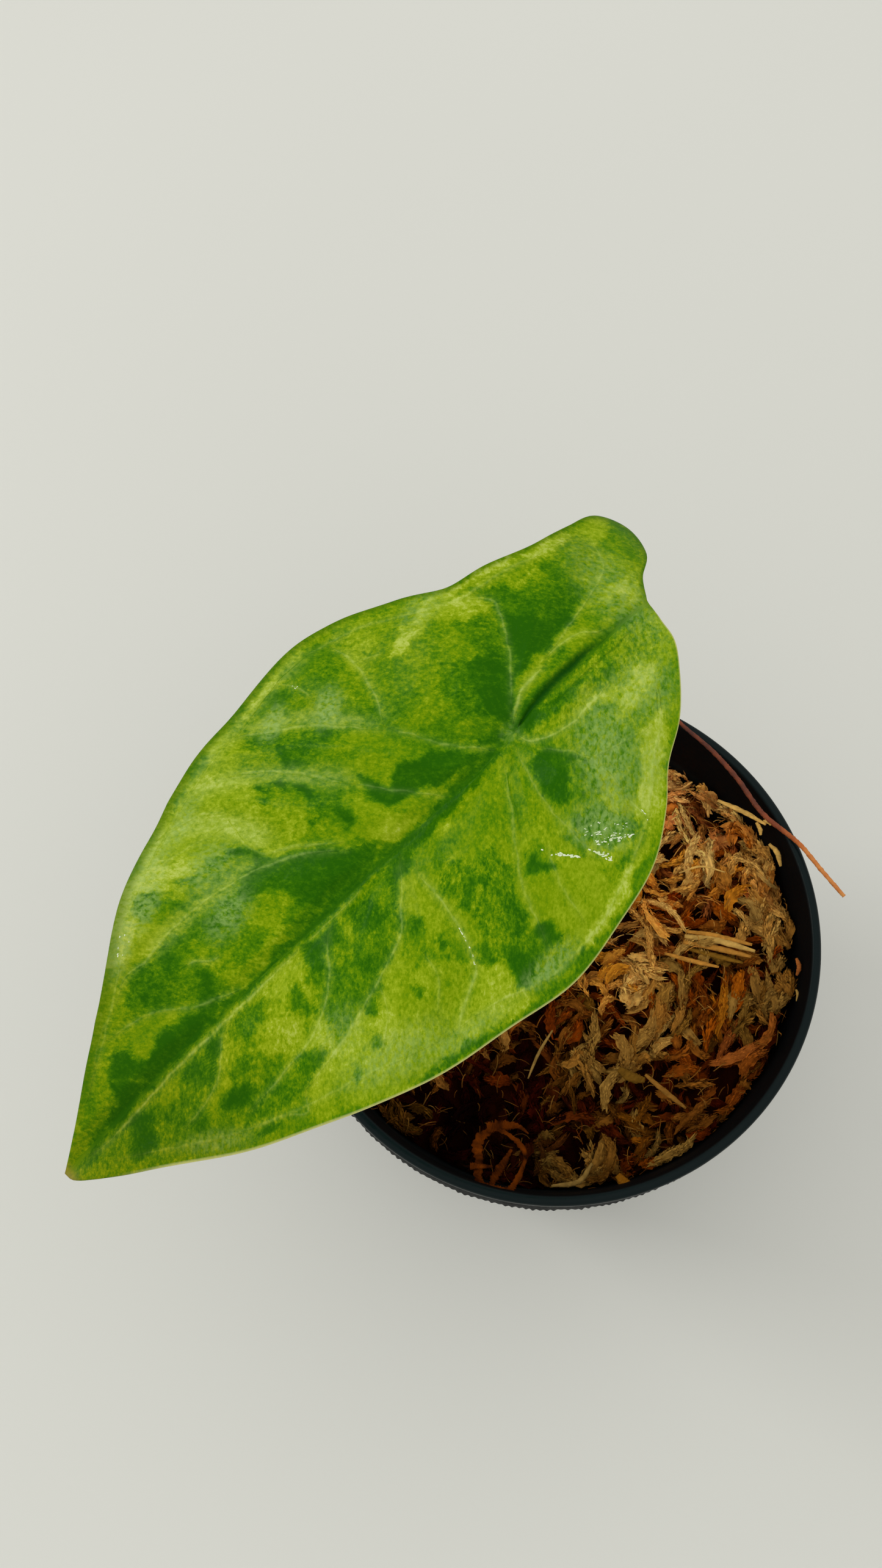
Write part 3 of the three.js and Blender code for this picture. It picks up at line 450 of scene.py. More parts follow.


# Mottling: patches drawn after the photo, in the blade's axes, each one over those before it.
# Each has a tone, from 0, deepest green, to 1, pale lime, then how speckled it is, then its outline.
PATCHES = [
    # broad grounds
    (0.50, 0.5, [(-3, -20), (6, -25), (24, -25), (24, -18), (12, -12), (2, -11), (-3, -13)]),
    (0.42, 0.5, [(4, -18), (9, -18), (14, -14), (10, -10), (5, -9), (3.4, -13)]),
    (0.66, 0.3, [(22, -25), (34, -22), (41, -18), (38, -12), (29, -9.5), (25, -6.4), (22, -7.5), (21, -12),
        (25, -18)]),
    (0.74, 0.5, [(34, -16), (42, -18.5), (51, -11.8), (47, -11), (42, -15.6), (36, -13)]),
    (0.52, 0.4, [(49, -13), (67, -0.5), (60, 0), (52, -2), (49, -6)]),
    (0.38, 0.5, [(26, -7), (34, -9.6), (50, -9.6), (51, -5), (45, -0.5), (30, 0.8), (26, -1)]),
    (0.61, 0.25, [(1, 0.8), (12, 2), (16.6, 3), (20.6, 6), (21, 12), (17, 18), (15, 22), (5, 22), (-2, 19),
        (2, 10)]),
    (0.75, 0.3, [(16, 18), (22, 13), (30, 12), (41, 14), (44, 16.5), (30, 23), (16, 24)]),
    (0.34, 0.6, [(19.5, 2), (33, 2), (36, 8), (35, 12.6), (26, 10.5), (21, 7)]),
    (0.62, 0.5, [(32, 1.6), (44, 1.6), (45, 7), (41, 10), (36, 12), (34, 9)]),
    (0.50, 0.5, [(43, 1.6), (62, 1.8), (67, 3), (52, 13.6), (42, 17), (40, 12)]),
    (0.55, 0.4, [(-21, 3), (-9, 3), (-2, 6), (2, 14), (2, 22), (-5, 20), (-14, 12)]),
    (0.42, 0.5, [(-28, -13), (-22, -15.6), (-14, -16), (-3, -19), (-3, -6), (-14, -6.4), (-24, -6)]),
    # from the junction outwards, on the drooping lobe's side
    (0.10, 0.3, [(0.5, -1), (2, -1.8), (4.2, -2.1), (5.5, -3.2), (7.5, -4.7), (9.5, -4.3), (11.7, -6),
        (13.2, -4.9), (14.3, -7), (15.3, -8), (15.8, -7), (15.6, -5.2), (15, -3.2), (13, -2.7), (11.5, -2.1),
        (9.5, -1), (6, -0.5)]),
    (0.12, 0.5, [(-2.4, -1.7), (-0.6, -1.2), (0, -2.5), (1.2, -3.5), (0.8, -5.5), (0, -6.8), (-0.6, -8.6),
        (-2.6, -9)]),
    (0.30, 0.6, [(0.4, -4), (2.4, -4.6), (3.2, -6.4), (3, -9.6), (1, -11), (-1.4, -10), (-0.4, -7)]),
    (0.50, 0.4, [(0.8, -2.2), (1.4, -2.4), (2.6, -3.6), (3, -4.6), (2.2, -4.2), (1.2, -3.2)]),
    (0.56, 0.3, [(1, -0.5), (3.2, -0.5), (5.2, -2), (7, -4), (8, -6), (8.4, -8.6), (7.8, -8.8), (7.2, -6.4),
        (6, -4), (4.2, -2.2), (2, -1)]),
    (0.62, 0.2, [(8.9, -4.3), (9.7, -4.4), (11.5, -6), (12.2, -5.6), (13.3, -5.1), (14.2, -6.6),
        (14.5, -7.8), (15.5, -8.7), (15.7, -9.6), (15, -9.9), (14.2, -9.3), (14, -10.5), (14.2, -11.5),
        (13.6, -12.6), (12.6, -12.5), (12.2, -11.5), (11, -10.8), (10.2, -9.8), (10.3, -8), (9.8, -7),
        (8.6, -6)]),
    (0.66, 0.15, [(14, 0.5), (15.2, 0.8), (16.6, 0.3), (18, -0.6), (19, -1.8), (20, -2.9), (21.5, -3.9),
        (22, -5.4), (21.3, -5.9), (20.6, -5.2), (20.3, -4), (19.4, -4), (18.4, -4.9), (18, -6.1), (17, -6.3),
        (16, -5.4), (15.6, -4), (16, -2.8), (15, -2.1), (14, -1.3), (13.2, -0.6)]),
    (0.60, 0.2, [(10.5, -0.4), (11.5, -1.6), (12.5, -2.4), (14.2, -2.8), (14.9, -2.4), (14.2, -1.2),
        (12.8, -0.5), (11.2, -0.1)]),
    (0.20, 0.3, [(18.3, -5.2), (19.2, -4.2), (20.2, -4.2), (20, -5.6), (19.2, -7.4), (18.6, -8),
        (18.2, -6.6)]),
    (0.52, 0.4, [(3, -6), (4.6, -7), (4.8, -10), (4.4, -12.6), (3.6, -12), (3.2, -9)]),
    (0.60, 0.3, [(1.6, -12.2), (2.4, -13.8), (3.4, -14), (3.4, -12.8), (2.6, -12)]),
    (0.82, 0.4, [(-3, -17.6), (-1, -15.6), (1.5, -15.2), (3.5, -15), (4.3, -16), (2.5, -17.4), (0, -17.8),
        (-2, -18.6)]),
    (0.30, 0.3, [(8.4, -23.4), (10, -23.9), (12, -24), (13.8, -24), (14.5, -23), (13.8, -21.8), (12, -21.6),
        (10.2, -21.7), (8.6, -21.9)]),
    (0.36, 0.5, [(7.8, -21.6), (12.6, -21.4), (13.6, -20), (13, -18), (11, -17.4), (8.4, -17)]),
    (0.26, 0.3, [(14.8, -22.1), (15.6, -23), (17.5, -23.1), (18.6, -22.6), (19.3, -22.6), (18.6, -21.9),
        (17, -21.2), (16, -20.6), (14.9, -21)]),
    (0.78, 0.2, [(14.4, -24), (16, -24.2), (20.4, -23.9), (20.4, -23.3), (16, -23.4), (15.2, -22.9)]),
    (0.30, 0.7, [(14, -13.2), (15.4, -12.8), (18, -14), (20.4, -17), (22.8, -21.4), (20.6, -21), (19, -18.8),
        (17, -17), (15, -15.2), (14, -14.6)]),
    (0.14, 0.4, [(14.2, -13.4), (15.5, -13.1), (16.2, -14), (15.2, -15.2), (14.4, -14.6)]),
    (0.16, 0.4, [(19, -13.4), (19.6, -15), (19.2, -17), (19.8, -17.4), (20.6, -15.4), (20.2, -13.8)]),
    (0.10, 0.2, [(20.4, -12), (21, -12.3), (21.4, -11), (20.9, -9.6), (20.4, -9.5), (20.5, -10.8)]),
    (0.14, 0.3, [(22, -14.3), (22.8, -14.3), (24, -15.6), (24.6, -16.2), (24.4, -15), (23.2, -14),
        (22.6, -12.6), (21.9, -12.9)]),
    (0.66, 0.2, [(19.9, -13), (20.7, -12.9), (20.4, -11.2), (20, -10), (19.6, -11)]),
    (0.45, 0.7, [(17, -8.4), (20, -8.8), (22, -8.8), (22.4, -6.6), (21.6, -5.8), (19.6, -7.4), (18, -7)]),
    (0.64, 0.3, [(21.4, -22.6), (26, -22.8), (26, -19), (24, -19.8), (22, -21.2)]),
    # the dark wedge and what lies round it
    (0.08, 0.3, [(18.4, -0.6), (19.6, -2), (21.5, -3.2), (23, -4.3), (24.5, -5.4), (26.3, -6.3),
        (27.5, -7.3), (28.6, -8.9), (29.3, -10.4), (30, -10), (29.9, -8.6), (32, -8.4), (33.2, -7.6),
        (33, -6.4), (31.8, -5.6), (30.4, -5.4), (29.6, -4.2), (29.1, -3), (28.7, -1.6), (27.4, -0.4),
        (24, -0.1), (20.5, -0.1)]),
    (0.08, 0.2, [(29.6, -10.5), (30.2, -12), (31.4, -12.3), (32, -11.4), (31, -10.4), (30, -10)]),
    (0.18, 0.5, [(32.6, -10.2), (34, -11.2), (36, -10.8), (37.8, -11.2), (38.4, -11.8), (39.4, -12.7),
        (40.9, -14), (41.2, -13.4), (40.4, -11.8), (39.6, -10.8), (38, -10.2), (36, -9.9), (34, -9.6)]),
    (0.34, 0.4, [(31.6, -11.4), (33.2, -12.8), (35, -13.4), (37, -13), (38.2, -12), (36.4, -11.2),
        (33.6, -11.2)]),
    (0.20, 0.4, [(36.3, -13), (37.4, -14.2), (38.2, -14.6), (37.8, -13.6), (36.9, -12.7)]),
    (0.26, 0.6, [(39.8, -15.2), (41.2, -15.6), (43, -16), (44.1, -15), (43.6, -14), (43.2, -13.3),
        (42.4, -13.6), (42, -14.4), (40.8, -14.2)]),
    (0.28, 0.5, [(33.6, -7.6), (36, -8.4), (38.6, -8), (41.6, -9.3), (43, -9.4), (44.6, -8.9), (44, -7.6),
        (43, -7.2), (42.2, -6.5), (41.4, -6.6), (40.4, -7.4), (39.2, -7), (37.8, -5.8), (37, -5),
        (35.6, -4.4), (34.4, -4.8), (33.6, -6.2)]),
    (0.08, 0.3, [(36.3, -7.2), (37.4, -6.2), (38.4, -7.2), (39.8, -8.2), (38.2, -8.1), (37.2, -7.8)]),
    (0.12, 0.3, [(40.2, -8.7), (41.4, -9.3), (43.4, -9.5), (42.2, -8.4), (41, -7.9)]),
    (0.12, 0.3, [(42.6, -7.4), (43.8, -8), (44.9, -8.9), (44.6, -7.2), (44, -6), (43, -6.2)]),
    (0.24, 0.5, [(42.4, -5.2), (43.6, -6), (45, -6.6), (45.6, -5.4), (45.2, -4.4), (44.2, -4.2),
        (43.2, -4.4)]),
    (0.12, 0.4, [(41, -3.4), (42, -4.6), (42.4, -3.6), (43.2, -2.6), (43.8, -1.6), (45, -1.2), (44, -0.3),
        (42.6, 0.1), (41.8, -1.2), (41.4, -2.4)]),
    (0.24, 0.6, [(44.6, -9.4), (46.4, -9.6), (48.6, -9.4), (50, -8.6), (50.6, -7.4), (49.8, -6.4),
        (48, -5.4), (46.6, -5), (45.6, -4.4), (44.8, -3.6), (44.4, -4.6), (45.6, -5.8), (45.4, -7.2)]),
    (0.28, 0.4, [(30, -1.9), (31.4, -1.5), (31.8, -0.4), (30.6, 0.2), (29, -0.2)]),
    (0.54, 0.4, [(29.2, -3.6), (30.2, -4.6), (31.6, -5.4), (33, -6), (34, -5.6), (34.6, -4.6), (34, -3),
        (33.4, -2), (32.2, -0.4), (31.4, -1.2), (29.8, -1.8), (28.8, -2.2)]),
    (0.57, 0.4, [(32.8, -1.8), (34, -1), (36, -1.2), (38, -1.8), (39.8, -2.8), (40.6, -2.6), (40.4, -1.2),
        (39.4, -0.4), (36, 0.1), (33, 0.2), (31.6, 0.2)]),
    (0.36, 0.4, [(33.6, -3), (34.6, -3.4), (36, -3), (36.8, -2.2), (36, -1.6), (34, -1.6)]),
    (0.50, 0.4, [(38, -4.6), (38.6, -5.6), (40, -6), (41.6, -6.2), (41, -5), (40, -4.4), (39, -4)]),
    (0.58, 0.4, [(37.6, -3.6), (39, -4), (40.6, -3.8), (40.9, -3), (39.6, -2.6), (38.2, -2.8)]),
    (0.67, 0.2, [(40.4, -10.7), (42, -11.4), (43.4, -12.9), (45, -12.7), (46.6, -11.8), (48.6, -11.4),
        (49.4, -10.6), (47, -10.2), (44, -10.3)]),
    (0.90, 0.4, [(35.4, -14.6), (37, -16), (39, -17.2), (41, -18), (43, -17.6), (44.4, -16.6), (43.4, -16.2),
        (41.4, -16), (39.6, -15.2), (38, -14.8), (36.6, -13.5), (35.4, -13.3)]),
    (0.82, 0.6, [(44, -16.2), (46, -15.6), (48, -14), (50, -12.2), (49.4, -11.6), (47.6, -12), (45.4, -12.8),
        (44, -13.6)]),
    (0.63, 0.15, [(46.2, -2.7), (47.4, -3.6), (48.4, -4.6), (50, -5.4), (51.4, -5.8), (52.6, -4.6),
        (52.8, -3.4), (52.4, -2.2), (51, -1.8), (50.4, -2.4), (48.6, -2.6), (47.4, -2.1)]),
    (0.64, 0.15, [(30.4, -12.6), (30.6, -14.4), (32, -16.4), (34, -17.6), (36, -18.6), (37, -18),
        (36, -16.4), (35, -15), (34, -13.6), (32.4, -12.8)]),
    (0.84, 0.4, [(28.2, -15.6), (29.2, -15.4), (29.8, -14), (29.4, -11.8), (28.8, -11.5), (28.6, -13.4)]),
    (0.70, 0.4, [(22.8, -7.4), (24, -6.4), (26, -6.8), (27.4, -8.6), (28.3, -10), (28.5, -12.6),
        (27.4, -14.4), (26, -15), (25, -13.6), (23.8, -12), (22.8, -11), (22.2, -9)]),
    (0.33, 0.4, [(24, -14), (25.4, -13.9), (25, -12.7), (23.8, -12.7)]),
    (0.82, 0.4, [(27.6, -21.2), (29.8, -21.4), (28.6, -19.8), (27, -18.6), (26.6, -19.2)]),
    (0.34, 0.3, [(26, -23.3), (29, -22.6), (33, -21.5), (33, -21), (30, -21.8), (28, -21.9),
        (26.4, -22.5)]),
    (0.04, 0.2, [(43, 0.9), (43.8, -0.4), (45.4, -1.2), (47, -1.8), (48.6, -2.2), (50.2, -2.1), (50.8, -1.6),
        (52.2, -1.6), (53, -1.8), (53.8, -2.4), (53.6, -3.6), (54.4, -4.5), (55.6, -4.4), (56.8, -3.6),
        (57, -2.4), (57.4, -1.8), (57.6, -0.8), (58.8, -0.2), (60.4, -0.2), (61, 0.4), (60.4, 1.4),
        (58, 1.6), (55, 1.1), (52.4, 0.9), (49, 1), (46, 1)]),
    (0.38, 0.2, [(53.3, 0.6), (53.7, -0.2), (55, -1.1), (56.6, -1.9), (55.4, -0.8), (54.2, 0.4)]),
    (0.40, 0.4, [(54, -8), (55, -7.2), (56.6, -6.6), (57.4, -5.6), (56.4, -5.8), (55, -6.6), (53.8, -7.2)]),
    (0.38, 0.4, [(58.2, -2.4), (60, -3), (62, -2.2), (64, -0.6), (63, -0.4), (61.4, -1.3), (59.6, -1.8)]),
    # midrib's dark band
    (0.14, 0.3, [(1.6, 0.5), (5, 1.3), (8, 1.9), (13, 2.1), (16, 2.6), (17.4, 3.6), (19, 4.1), (20.4, 5),
        (20.9, 4.6), (19.8, 3.4), (19, 2.4), (18.6, 1.6), (22, 1.3), (26, 1.2), (30.6, 1.1), (30.6, 0.2),
        (26, -0.4), (20, -0.4), (17.6, -0.1), (14, 0.7), (10, 0.3), (6, -0.3), (2, -0.4)]),
    (0.08, 0.2, [(30.6, 0.3), (33, 0.35), (38, 0.4), (42, -0.1), (43, 0.95), (38, 1), (33, 1), (30, 1.1)]),
    # the far half, from the junction to the middle
    (0.06, 0.3, [(-2.2, 3.8), (-0.6, 3.4), (0.9, 3.9), (1.3, 6), (1.7, 8.3), (1.2, 9.6), (0.3, 10.2),
        (-0.4, 9.6), (-1.2, 7.6), (-1.8, 6.8), (-3.2, 7.6), (-3.8, 9.4), (-4.3, 8.6), (-3.4, 6.2)]),
    (0.36, 0.5, [(-3, 7.8), (-1.8, 7.1), (-1, 9), (-0.2, 10.6), (-0.4, 12), (-2, 12.6), (-3.6, 12.2),
        (-3.9, 10)]),
    (0.12, 0.6, [(-4.4, 16), (-3.4, 15.6), (-2.4, 14), (-2, 12.8), (-0.4, 12), (0.6, 12), (1.5, 12),
        (1.6, 13.6), (0.6, 15.2), (-0.6, 16.8), (-2.2, 18.2), (-3.4, 17.6)]),
    (0.22, 0.4, [(-1.4, 18.4), (-0.2, 18.5), (0.6, 19.6), (-0.6, 19.5)]),
    (0.10, 0.2, [(6.6, 11.8), (7.4, 11.3), (7.9, 12.4), (8.5, 13.2), (7.4, 14), (6.6, 14.8), (6, 15.2),
        (5.5, 14.6), (5.9, 13.8), (6.5, 13)]),
    (0.28, 0.3, [(2.1, 12.8), (3, 12.5), (3.1, 14.5), (3.5, 15.2), (2.9, 16), (2.1, 15)]),
    (0.42, 0.9, [(9.2, 8), (12, 8.4), (15, 5), (16.4, 8), (16, 12), (15.8, 16), (15.6, 18.4), (13, 18),
        (11.6, 15), (10.6, 13.5), (9.4, 11.5)]),
    (0.44, 0.3, [(12.2, 4.8), (14, 4), (15.6, 5), (15.2, 6), (13, 5.9)]),
    (0.10, 0.4, [(13.1, 8.8), (14.3, 8.5), (14.6, 9.5), (15.8, 11), (15.3, 11.9), (14.6, 11.4), (14, 10.4),
        (13.4, 10.2), (12.7, 11.4), (12.2, 10.9), (12.9, 10)]),
    (0.24, 0.8, [(10.5, 11.4), (12, 12), (13.3, 12.8), (13.6, 14.6), (13.4, 17), (12.2, 18), (11.3, 17),
        (11.2, 15), (10.6, 13.5), (10.2, 12.4)]),
    (0.30, 0.5, [(11, 18), (13.4, 18), (13.8, 20.4), (12, 20.6), (11.2, 19.8)]),
    (0.05, 0.2, [(9.6, 18.3), (10.6, 17.8), (11.5, 18.6), (11.7, 19.7), (10.6, 20.4), (10, 20.2),
        (9.4, 19.2)]),
    (0.08, 0.3, [(13.4, 18), (14.6, 17.4), (15.6, 18.6), (16, 20), (16.7, 21.6), (15.8, 22.3), (14.4, 21.7),
        (13.6, 20.6), (13.2, 19.4)]),
    (0.44, 0.5, [(10.2, 20.6), (13.4, 20.8), (15, 22.2), (14, 23.2), (11, 23), (10.2, 21.8)]),
    (0.22, 0.5, [(15.9, 17.4), (16.4, 15.6), (17.6, 15.2), (18.1, 16.2), (17.2, 17.5), (16.6, 18.2),
        (16, 18)]),
    (0.18, 0.4, [(19, 11.5), (19.8, 11.4), (20, 12.6), (19.2, 13)]),
    (0.28, 0.6, [(21.5, 11.4), (22.6, 11.6), (22.4, 12.8), (21.6, 12.6)]),
    (0.26, 0.5, [(20.4, 8.5), (21, 7.7), (21.6, 8.4), (21.4, 9.8), (20.5, 10), (20, 9.3)]),
    (0.68, 0.15, [(17.4, 4), (19, 4.7), (20.4, 6), (21.2, 7.2), (20.4, 8.2), (19.4, 9.4), (18.2, 9.2),
        (17.6, 7)]),
    (0.66, 0.1, [(3, 16), (4.6, 15.4), (6.6, 15.2), (8, 14), (9.6, 14), (10.6, 16), (10.6, 17.6),
        (9.4, 18.2), (9.2, 20), (9.8, 21.8), (8, 21.6), (5, 20.6), (2.6, 20), (2.4, 18)]),
    (0.80, 0.3, [(16.2, 18.4), (18, 17.6), (20, 18.6), (23, 20), (25, 21.8), (23, 22.4), (18.4, 22.4),
        (17, 21)]),
    (0.76, 0.3, [(22, 14.5), (23.6, 14.6), (24.4, 17.4), (23.6, 18.2), (22.2, 17)]),
    (0.82, 0.3, [(-3, 19.2), (1, 20.2), (4, 20.9), (8, 21.8), (9.8, 23), (7.6, 23.3), (4, 22.5), (0, 21)]),
    (0.32, 0.3, [(-5.6, 18.4), (-3, 19.8), (1, 21.5), (4, 22.9), (8, 24), (4, 23.9), (0, 22.4),
        (-3.4, 20.8)]),
    (0.28, 0.4, [(7, 22.9), (9, 23), (11, 23.5), (14, 23.7), (18, 23.6), (22, 22.7), (26, 21.9), (31, 21.2),
        (31, 21.7), (26, 22.8), (20, 24), (14, 24.7), (9, 24.6), (7, 23.7)]),
    (0.18, 0.8, [(21.6, 5), (22.6, 2.8), (25, 2.2), (25.8, 3.4), (26, 5), (25, 6.2), (23.2, 6.6),
        (22, 6.2)]),
    (0.56, 0.5, [(20.4, 3.6), (21.4, 2.9), (22.2, 3.4), (21.8, 5), (21, 4.8)]),
    (0.10, 0.3, [(27.4, 2.2), (28.6, 1.9), (29.4, 2.6), (30.4, 1.8), (31.8, 2.1), (32, 3.8), (31.6, 5.4),
        (30.8, 5.7), (30, 4.5), (29.4, 3.7), (28.8, 4.6), (27.8, 4.7)]),
    (0.12, 0.5, [(26.3, 8.1), (27.6, 7.9), (28, 9.4), (27, 10.1)]),
    (0.55, 0.5, [(25.8, 2.6), (27.2, 2.4), (27.4, 4.4), (27, 5.7), (26.4, 5.2), (25.7, 3.8)]),
    (0.52, 0.5, [(24.4, 6.8), (26, 6.4), (26.7, 7.4), (25.6, 7.9), (24.6, 7.6)]),
    (0.50, 0.6, [(28.2, 4.9), (29.7, 4.6), (29.4, 6.1), (28.4, 6.1)]),
    (0.24, 0.4, [(33.8, 5), (35.6, 4.6), (36.2, 6.2), (36, 7.8), (34.8, 8.2), (34.6, 6.4)]),
    (0.80, 0.3, [(32, 1.7), (36, 1.8), (38, 2.1), (38, 4), (36.6, 5), (35.8, 4.6), (34.8, 4.2), (33.6, 4.7),
        (32.2, 4.3)]),
    (0.74, 0.4, [(36.4, 5), (38.4, 4.6), (40, 6), (41.4, 7), (41.2, 8.6), (39.8, 9.4), (37.6, 9.2),
        (36.4, 8), (36.6, 6.2)]),
    (0.74, 0.3, [(34.2, 9.3), (35.4, 9), (36.8, 9.8), (37.4, 11), (36.4, 12.6), (35, 12.4), (34.5, 11)]),
    (0.36, 0.6, [(38.2, 2.6), (39.6, 2.6), (40.8, 2.3), (42, 2.4), (43, 3.6), (43.4, 5), (42.6, 6),
        (41.4, 5.4), (40.2, 5.2), (39.2, 4.4)]),
    (0.14, 0.3, [(44.6, 2.4), (46.2, 2.3), (46.8, 3.4), (47.4, 4.4), (48.6, 5.2), (48.4, 5.9), (47, 5.6),
        (45.8, 4.6), (45, 3.6)]),
    (0.26, 0.4, [(48, 2.8), (50, 2.7), (50.6, 4), (49.8, 5.5), (48.6, 5.7), (47.8, 4.2)]),
    (0.33, 0.5, [(43.3, 6.4), (45, 6.6), (46.8, 7.4), (46, 8.4), (44.4, 8.6), (43.4, 8)]),
    (0.08, 0.2, [(45.1, 9.2), (46.6, 8.8), (47.8, 9.1), (49.1, 9.8), (48.2, 10.3), (46.8, 11),
        (45.6, 10.5)]),
    (0.35, 0.6, [(40.4, 9.4), (42, 9), (43.6, 9.6), (45, 11), (47, 11.2), (48.4, 11.6), (48, 12.6), (46, 13),
        (44.4, 13.6), (43, 14), (41.4, 13.6), (40.8, 12), (41, 10.6)]),
    (0.16, 0.5, [(36, 12.6), (36.8, 11.2), (38, 10.7), (39.6, 10.9), (40.4, 12), (41.1, 13.4), (40.2, 13.7),
        (38, 13.4), (36.6, 13.2)]),
    (0.14, 0.2, [(44.8, 14.4), (46, 13.9), (47.8, 13.6), (48, 14), (46.8, 14.7), (45.6, 14.8)]),
    (0.22, 0.3, [(26.8, 10.4), (27.8, 10.6), (28, 11.7), (27.2, 11.5)]),
    (0.22, 0.3, [(29, 11.7), (30, 11.7), (30.3, 13), (29.6, 13.9), (28.9, 13.6)]),
    (0.30, 0.4, [(30.7, 15.2), (31.6, 14.7), (32.5, 16), (32, 16.7), (30.9, 16.2)]),
    (0.30, 0.4, [(24.7, 13.8), (25.6, 14.1), (25.5, 15.1), (24.5, 15)]),
    (0.36, 0.4, [(35.2, 15.8), (35.6, 16.4), (35.7, 17.6), (35.3, 17.5), (35, 16.6)]),
    (0.68, 0.2, [(24, 10.2), (26.6, 10.5), (28, 12.3), (28.8, 14), (28.4, 16.6), (26.8, 17.6), (25.8, 15.6),
        (25.2, 13), (24, 12)]),
    (0.52, 0.2, [(42.6, 15.3), (44, 14.9), (46, 15.1), (48.6, 14.7), (50, 13.6), (52, 12.4), (52, 13.3),
        (49, 15.2), (45.6, 16.3), (43, 17), (41, 17.6)]),
    (0.65, 0.2, [(46, 7), (48, 7.2), (50, 7.4), (51, 8.4), (50.4, 9.6), (49.4, 9.4), (48.6, 8.6),
        (47, 8.4)]),
    (0.60, 0.4, [(43.3, 4.4), (44.6, 4.4), (46.4, 5.6), (47, 6.6), (45.4, 6.2), (43.6, 5.6)]),
    (0.26, 0.4, [(60.6, 0.4), (62, 0.2), (64.4, 0.6), (65.4, 1.6), (65, 2.6), (64, 3), (62.6, 2.4),
        (61.4, 1.6)]),
    (0.12, 0.3, [(55.4, 3.4), (56.4, 2.9), (57.6, 2.5), (59, 2.4), (59.5, 3), (58.4, 3.8), (59.6, 4.6),
        (60.3, 5.6), (60, 6.6), (58.6, 7.3), (57.4, 7), (57, 6), (56.8, 5), (57, 4.2), (56, 4)]),
    (0.30, 0.4, [(53, 4.4), (54.4, 4.6), (55.2, 5.4), (54.2, 5.7), (53.2, 5.1)]),
    (0.30, 0.4, [(52.9, 6.4), (54, 6.2), (53.8, 7.7), (52.9, 7.5)]),
    (0.26, 0.4, [(50.8, 8.2), (52.4, 8), (52.5, 9.2), (51.6, 9.9), (50.8, 9)]),
    (0.61, 0.2, [(50.6, 2.5), (54, 2.7), (55, 3.4), (55.6, 4.6), (54, 4.2), (52, 4), (50.8, 3.6)]),
    # behind the junction, on the drooping lobe
    (0.20, 0.5, [(-4, -4.6), (-8, -4.8), (-12, -5.5), (-14, -6.2), (-16, -6.6), (-16.8, -8.4), (-15.6, -9),
        (-14.6, -9.8), (-13.6, -11), (-11, -10.8), (-10.3, -12), (-10.4, -13.6), (-8.4, -14.6),
        (-7.4, -15.6), (-6.1, -16.2), (-7.5, -14.4), (-8, -13), (-8, -11), (-7.4, -9.4), (-6.4, -8),
        (-6, -6.4), (-5, -5.4)]),
    (0.04, 0.4, [(-4.6, -4.8), (-9, -5), (-13, -5.8), (-14.4, -6.4), (-12, -6.8), (-10.2, -7.6), (-10, -9.6),
        (-8.6, -10), (-7, -8.6), (-6.2, -6.6)]),
    (0.18, 0.4, [(-16.8, -12.4), (-15.6, -13), (-14.4, -12.4), (-14.6, -10.6), (-15.6, -9.6),
        (-16.6, -10.6)]),
    (0.33, 0.4, [(-21.5, -13.7), (-20, -13.8), (-18.6, -13), (-17, -12.4), (-17, -10.4), (-18, -9.4),
        (-19.4, -10.2), (-20.6, -11.2), (-21.7, -11.6)]),
    (0.28, 0.3, [(-26.8, -13.4), (-25, -12.4), (-23.4, -11.8), (-22.4, -10.8), (-22.6, -9), (-23.6, -7.8),
        (-25.6, -7.8), (-27.2, -9.4), (-27.8, -11.4)]),
    (0.62, 0.2, [(-26.6, -14.6), (-24.6, -15.2), (-22.4, -14.8), (-21.8, -13.4), (-22.4, -11.8),
        (-24, -12.2), (-25.4, -12.8)]),
    (0.72, 0.3, [(-22, -14.5), (-19, -15), (-16, -14.9), (-14, -15.2), (-13.6, -14.2), (-16, -13.4),
        (-18, -13.4), (-20, -13.9)]),
    (0.35, 0.4, [(-14, -14.2), (-12, -15.2), (-10, -15.8), (-7.6, -16), (-8.4, -15), (-10, -14.4),
        (-12, -13.8)]),
    (0.54, 0.9, [(-13.9, -13.3), (-12, -13), (-10.6, -13.2), (-10.3, -12.2), (-12, -11.5), (-13.3, -11.9)]),
    (0.76, 0.3, [(-14, -15.7), (-10, -16.5), (-6, -17.2), (-2, -18.8), (-2, -17.4), (-5, -16.7), (-8, -16.2),
        (-12, -15.6)]),
    (0.68, 0.4, [(-7.9, -13), (-7, -14.6), (-5.6, -15.8), (-2, -17.2), (-2, -14.4), (-4, -13.6), (-5, -12.4),
        (-7, -11.8)]),
    (0.34, 0.6, [(-6.8, -12.2), (-5, -12.8), (-3.6, -12.6), (-3, -11), (-3.6, -9.4), (-5.6, -8.8),
        (-6.8, -10)]),
    (0.12, 0.4, [(-4, -8), (-2.4, -8.8), (-1.6, -8), (-1.4, -3), (-2.2, -2.2), (-3, -3), (-3.8, -4.4),
        (-4.4, -6)]),
    (0.70, 0.3, [(-22.8, -6.6), (-20.4, -6.5), (-18, -6.2), (-17.6, -5.1), (-18.8, -4.6), (-20, -4.3),
        (-21.8, -3.8)]),
    (0.36, 0.5, [(-19.8, -4.6), (-17.6, -5.2), (-15, -5.5), (-14, -4.7), (-15.8, -3.8), (-18, -3.7)]),
    (0.64, 0.3, [(-21.6, -3.8), (-18, -3.6), (-15.6, -3.6), (-13.8, -4.4), (-14.2, -5.2), (-12, -5.3),
        (-9, -4.7), (-6, -4.4), (-4, -3.4), (-2.2, -2), (-1.6, -1.2), (-4, -1.7), (-7, -1.9), (-10, -2),
        (-13, -2.3), (-17, -2.8), (-21.4, -3)]),
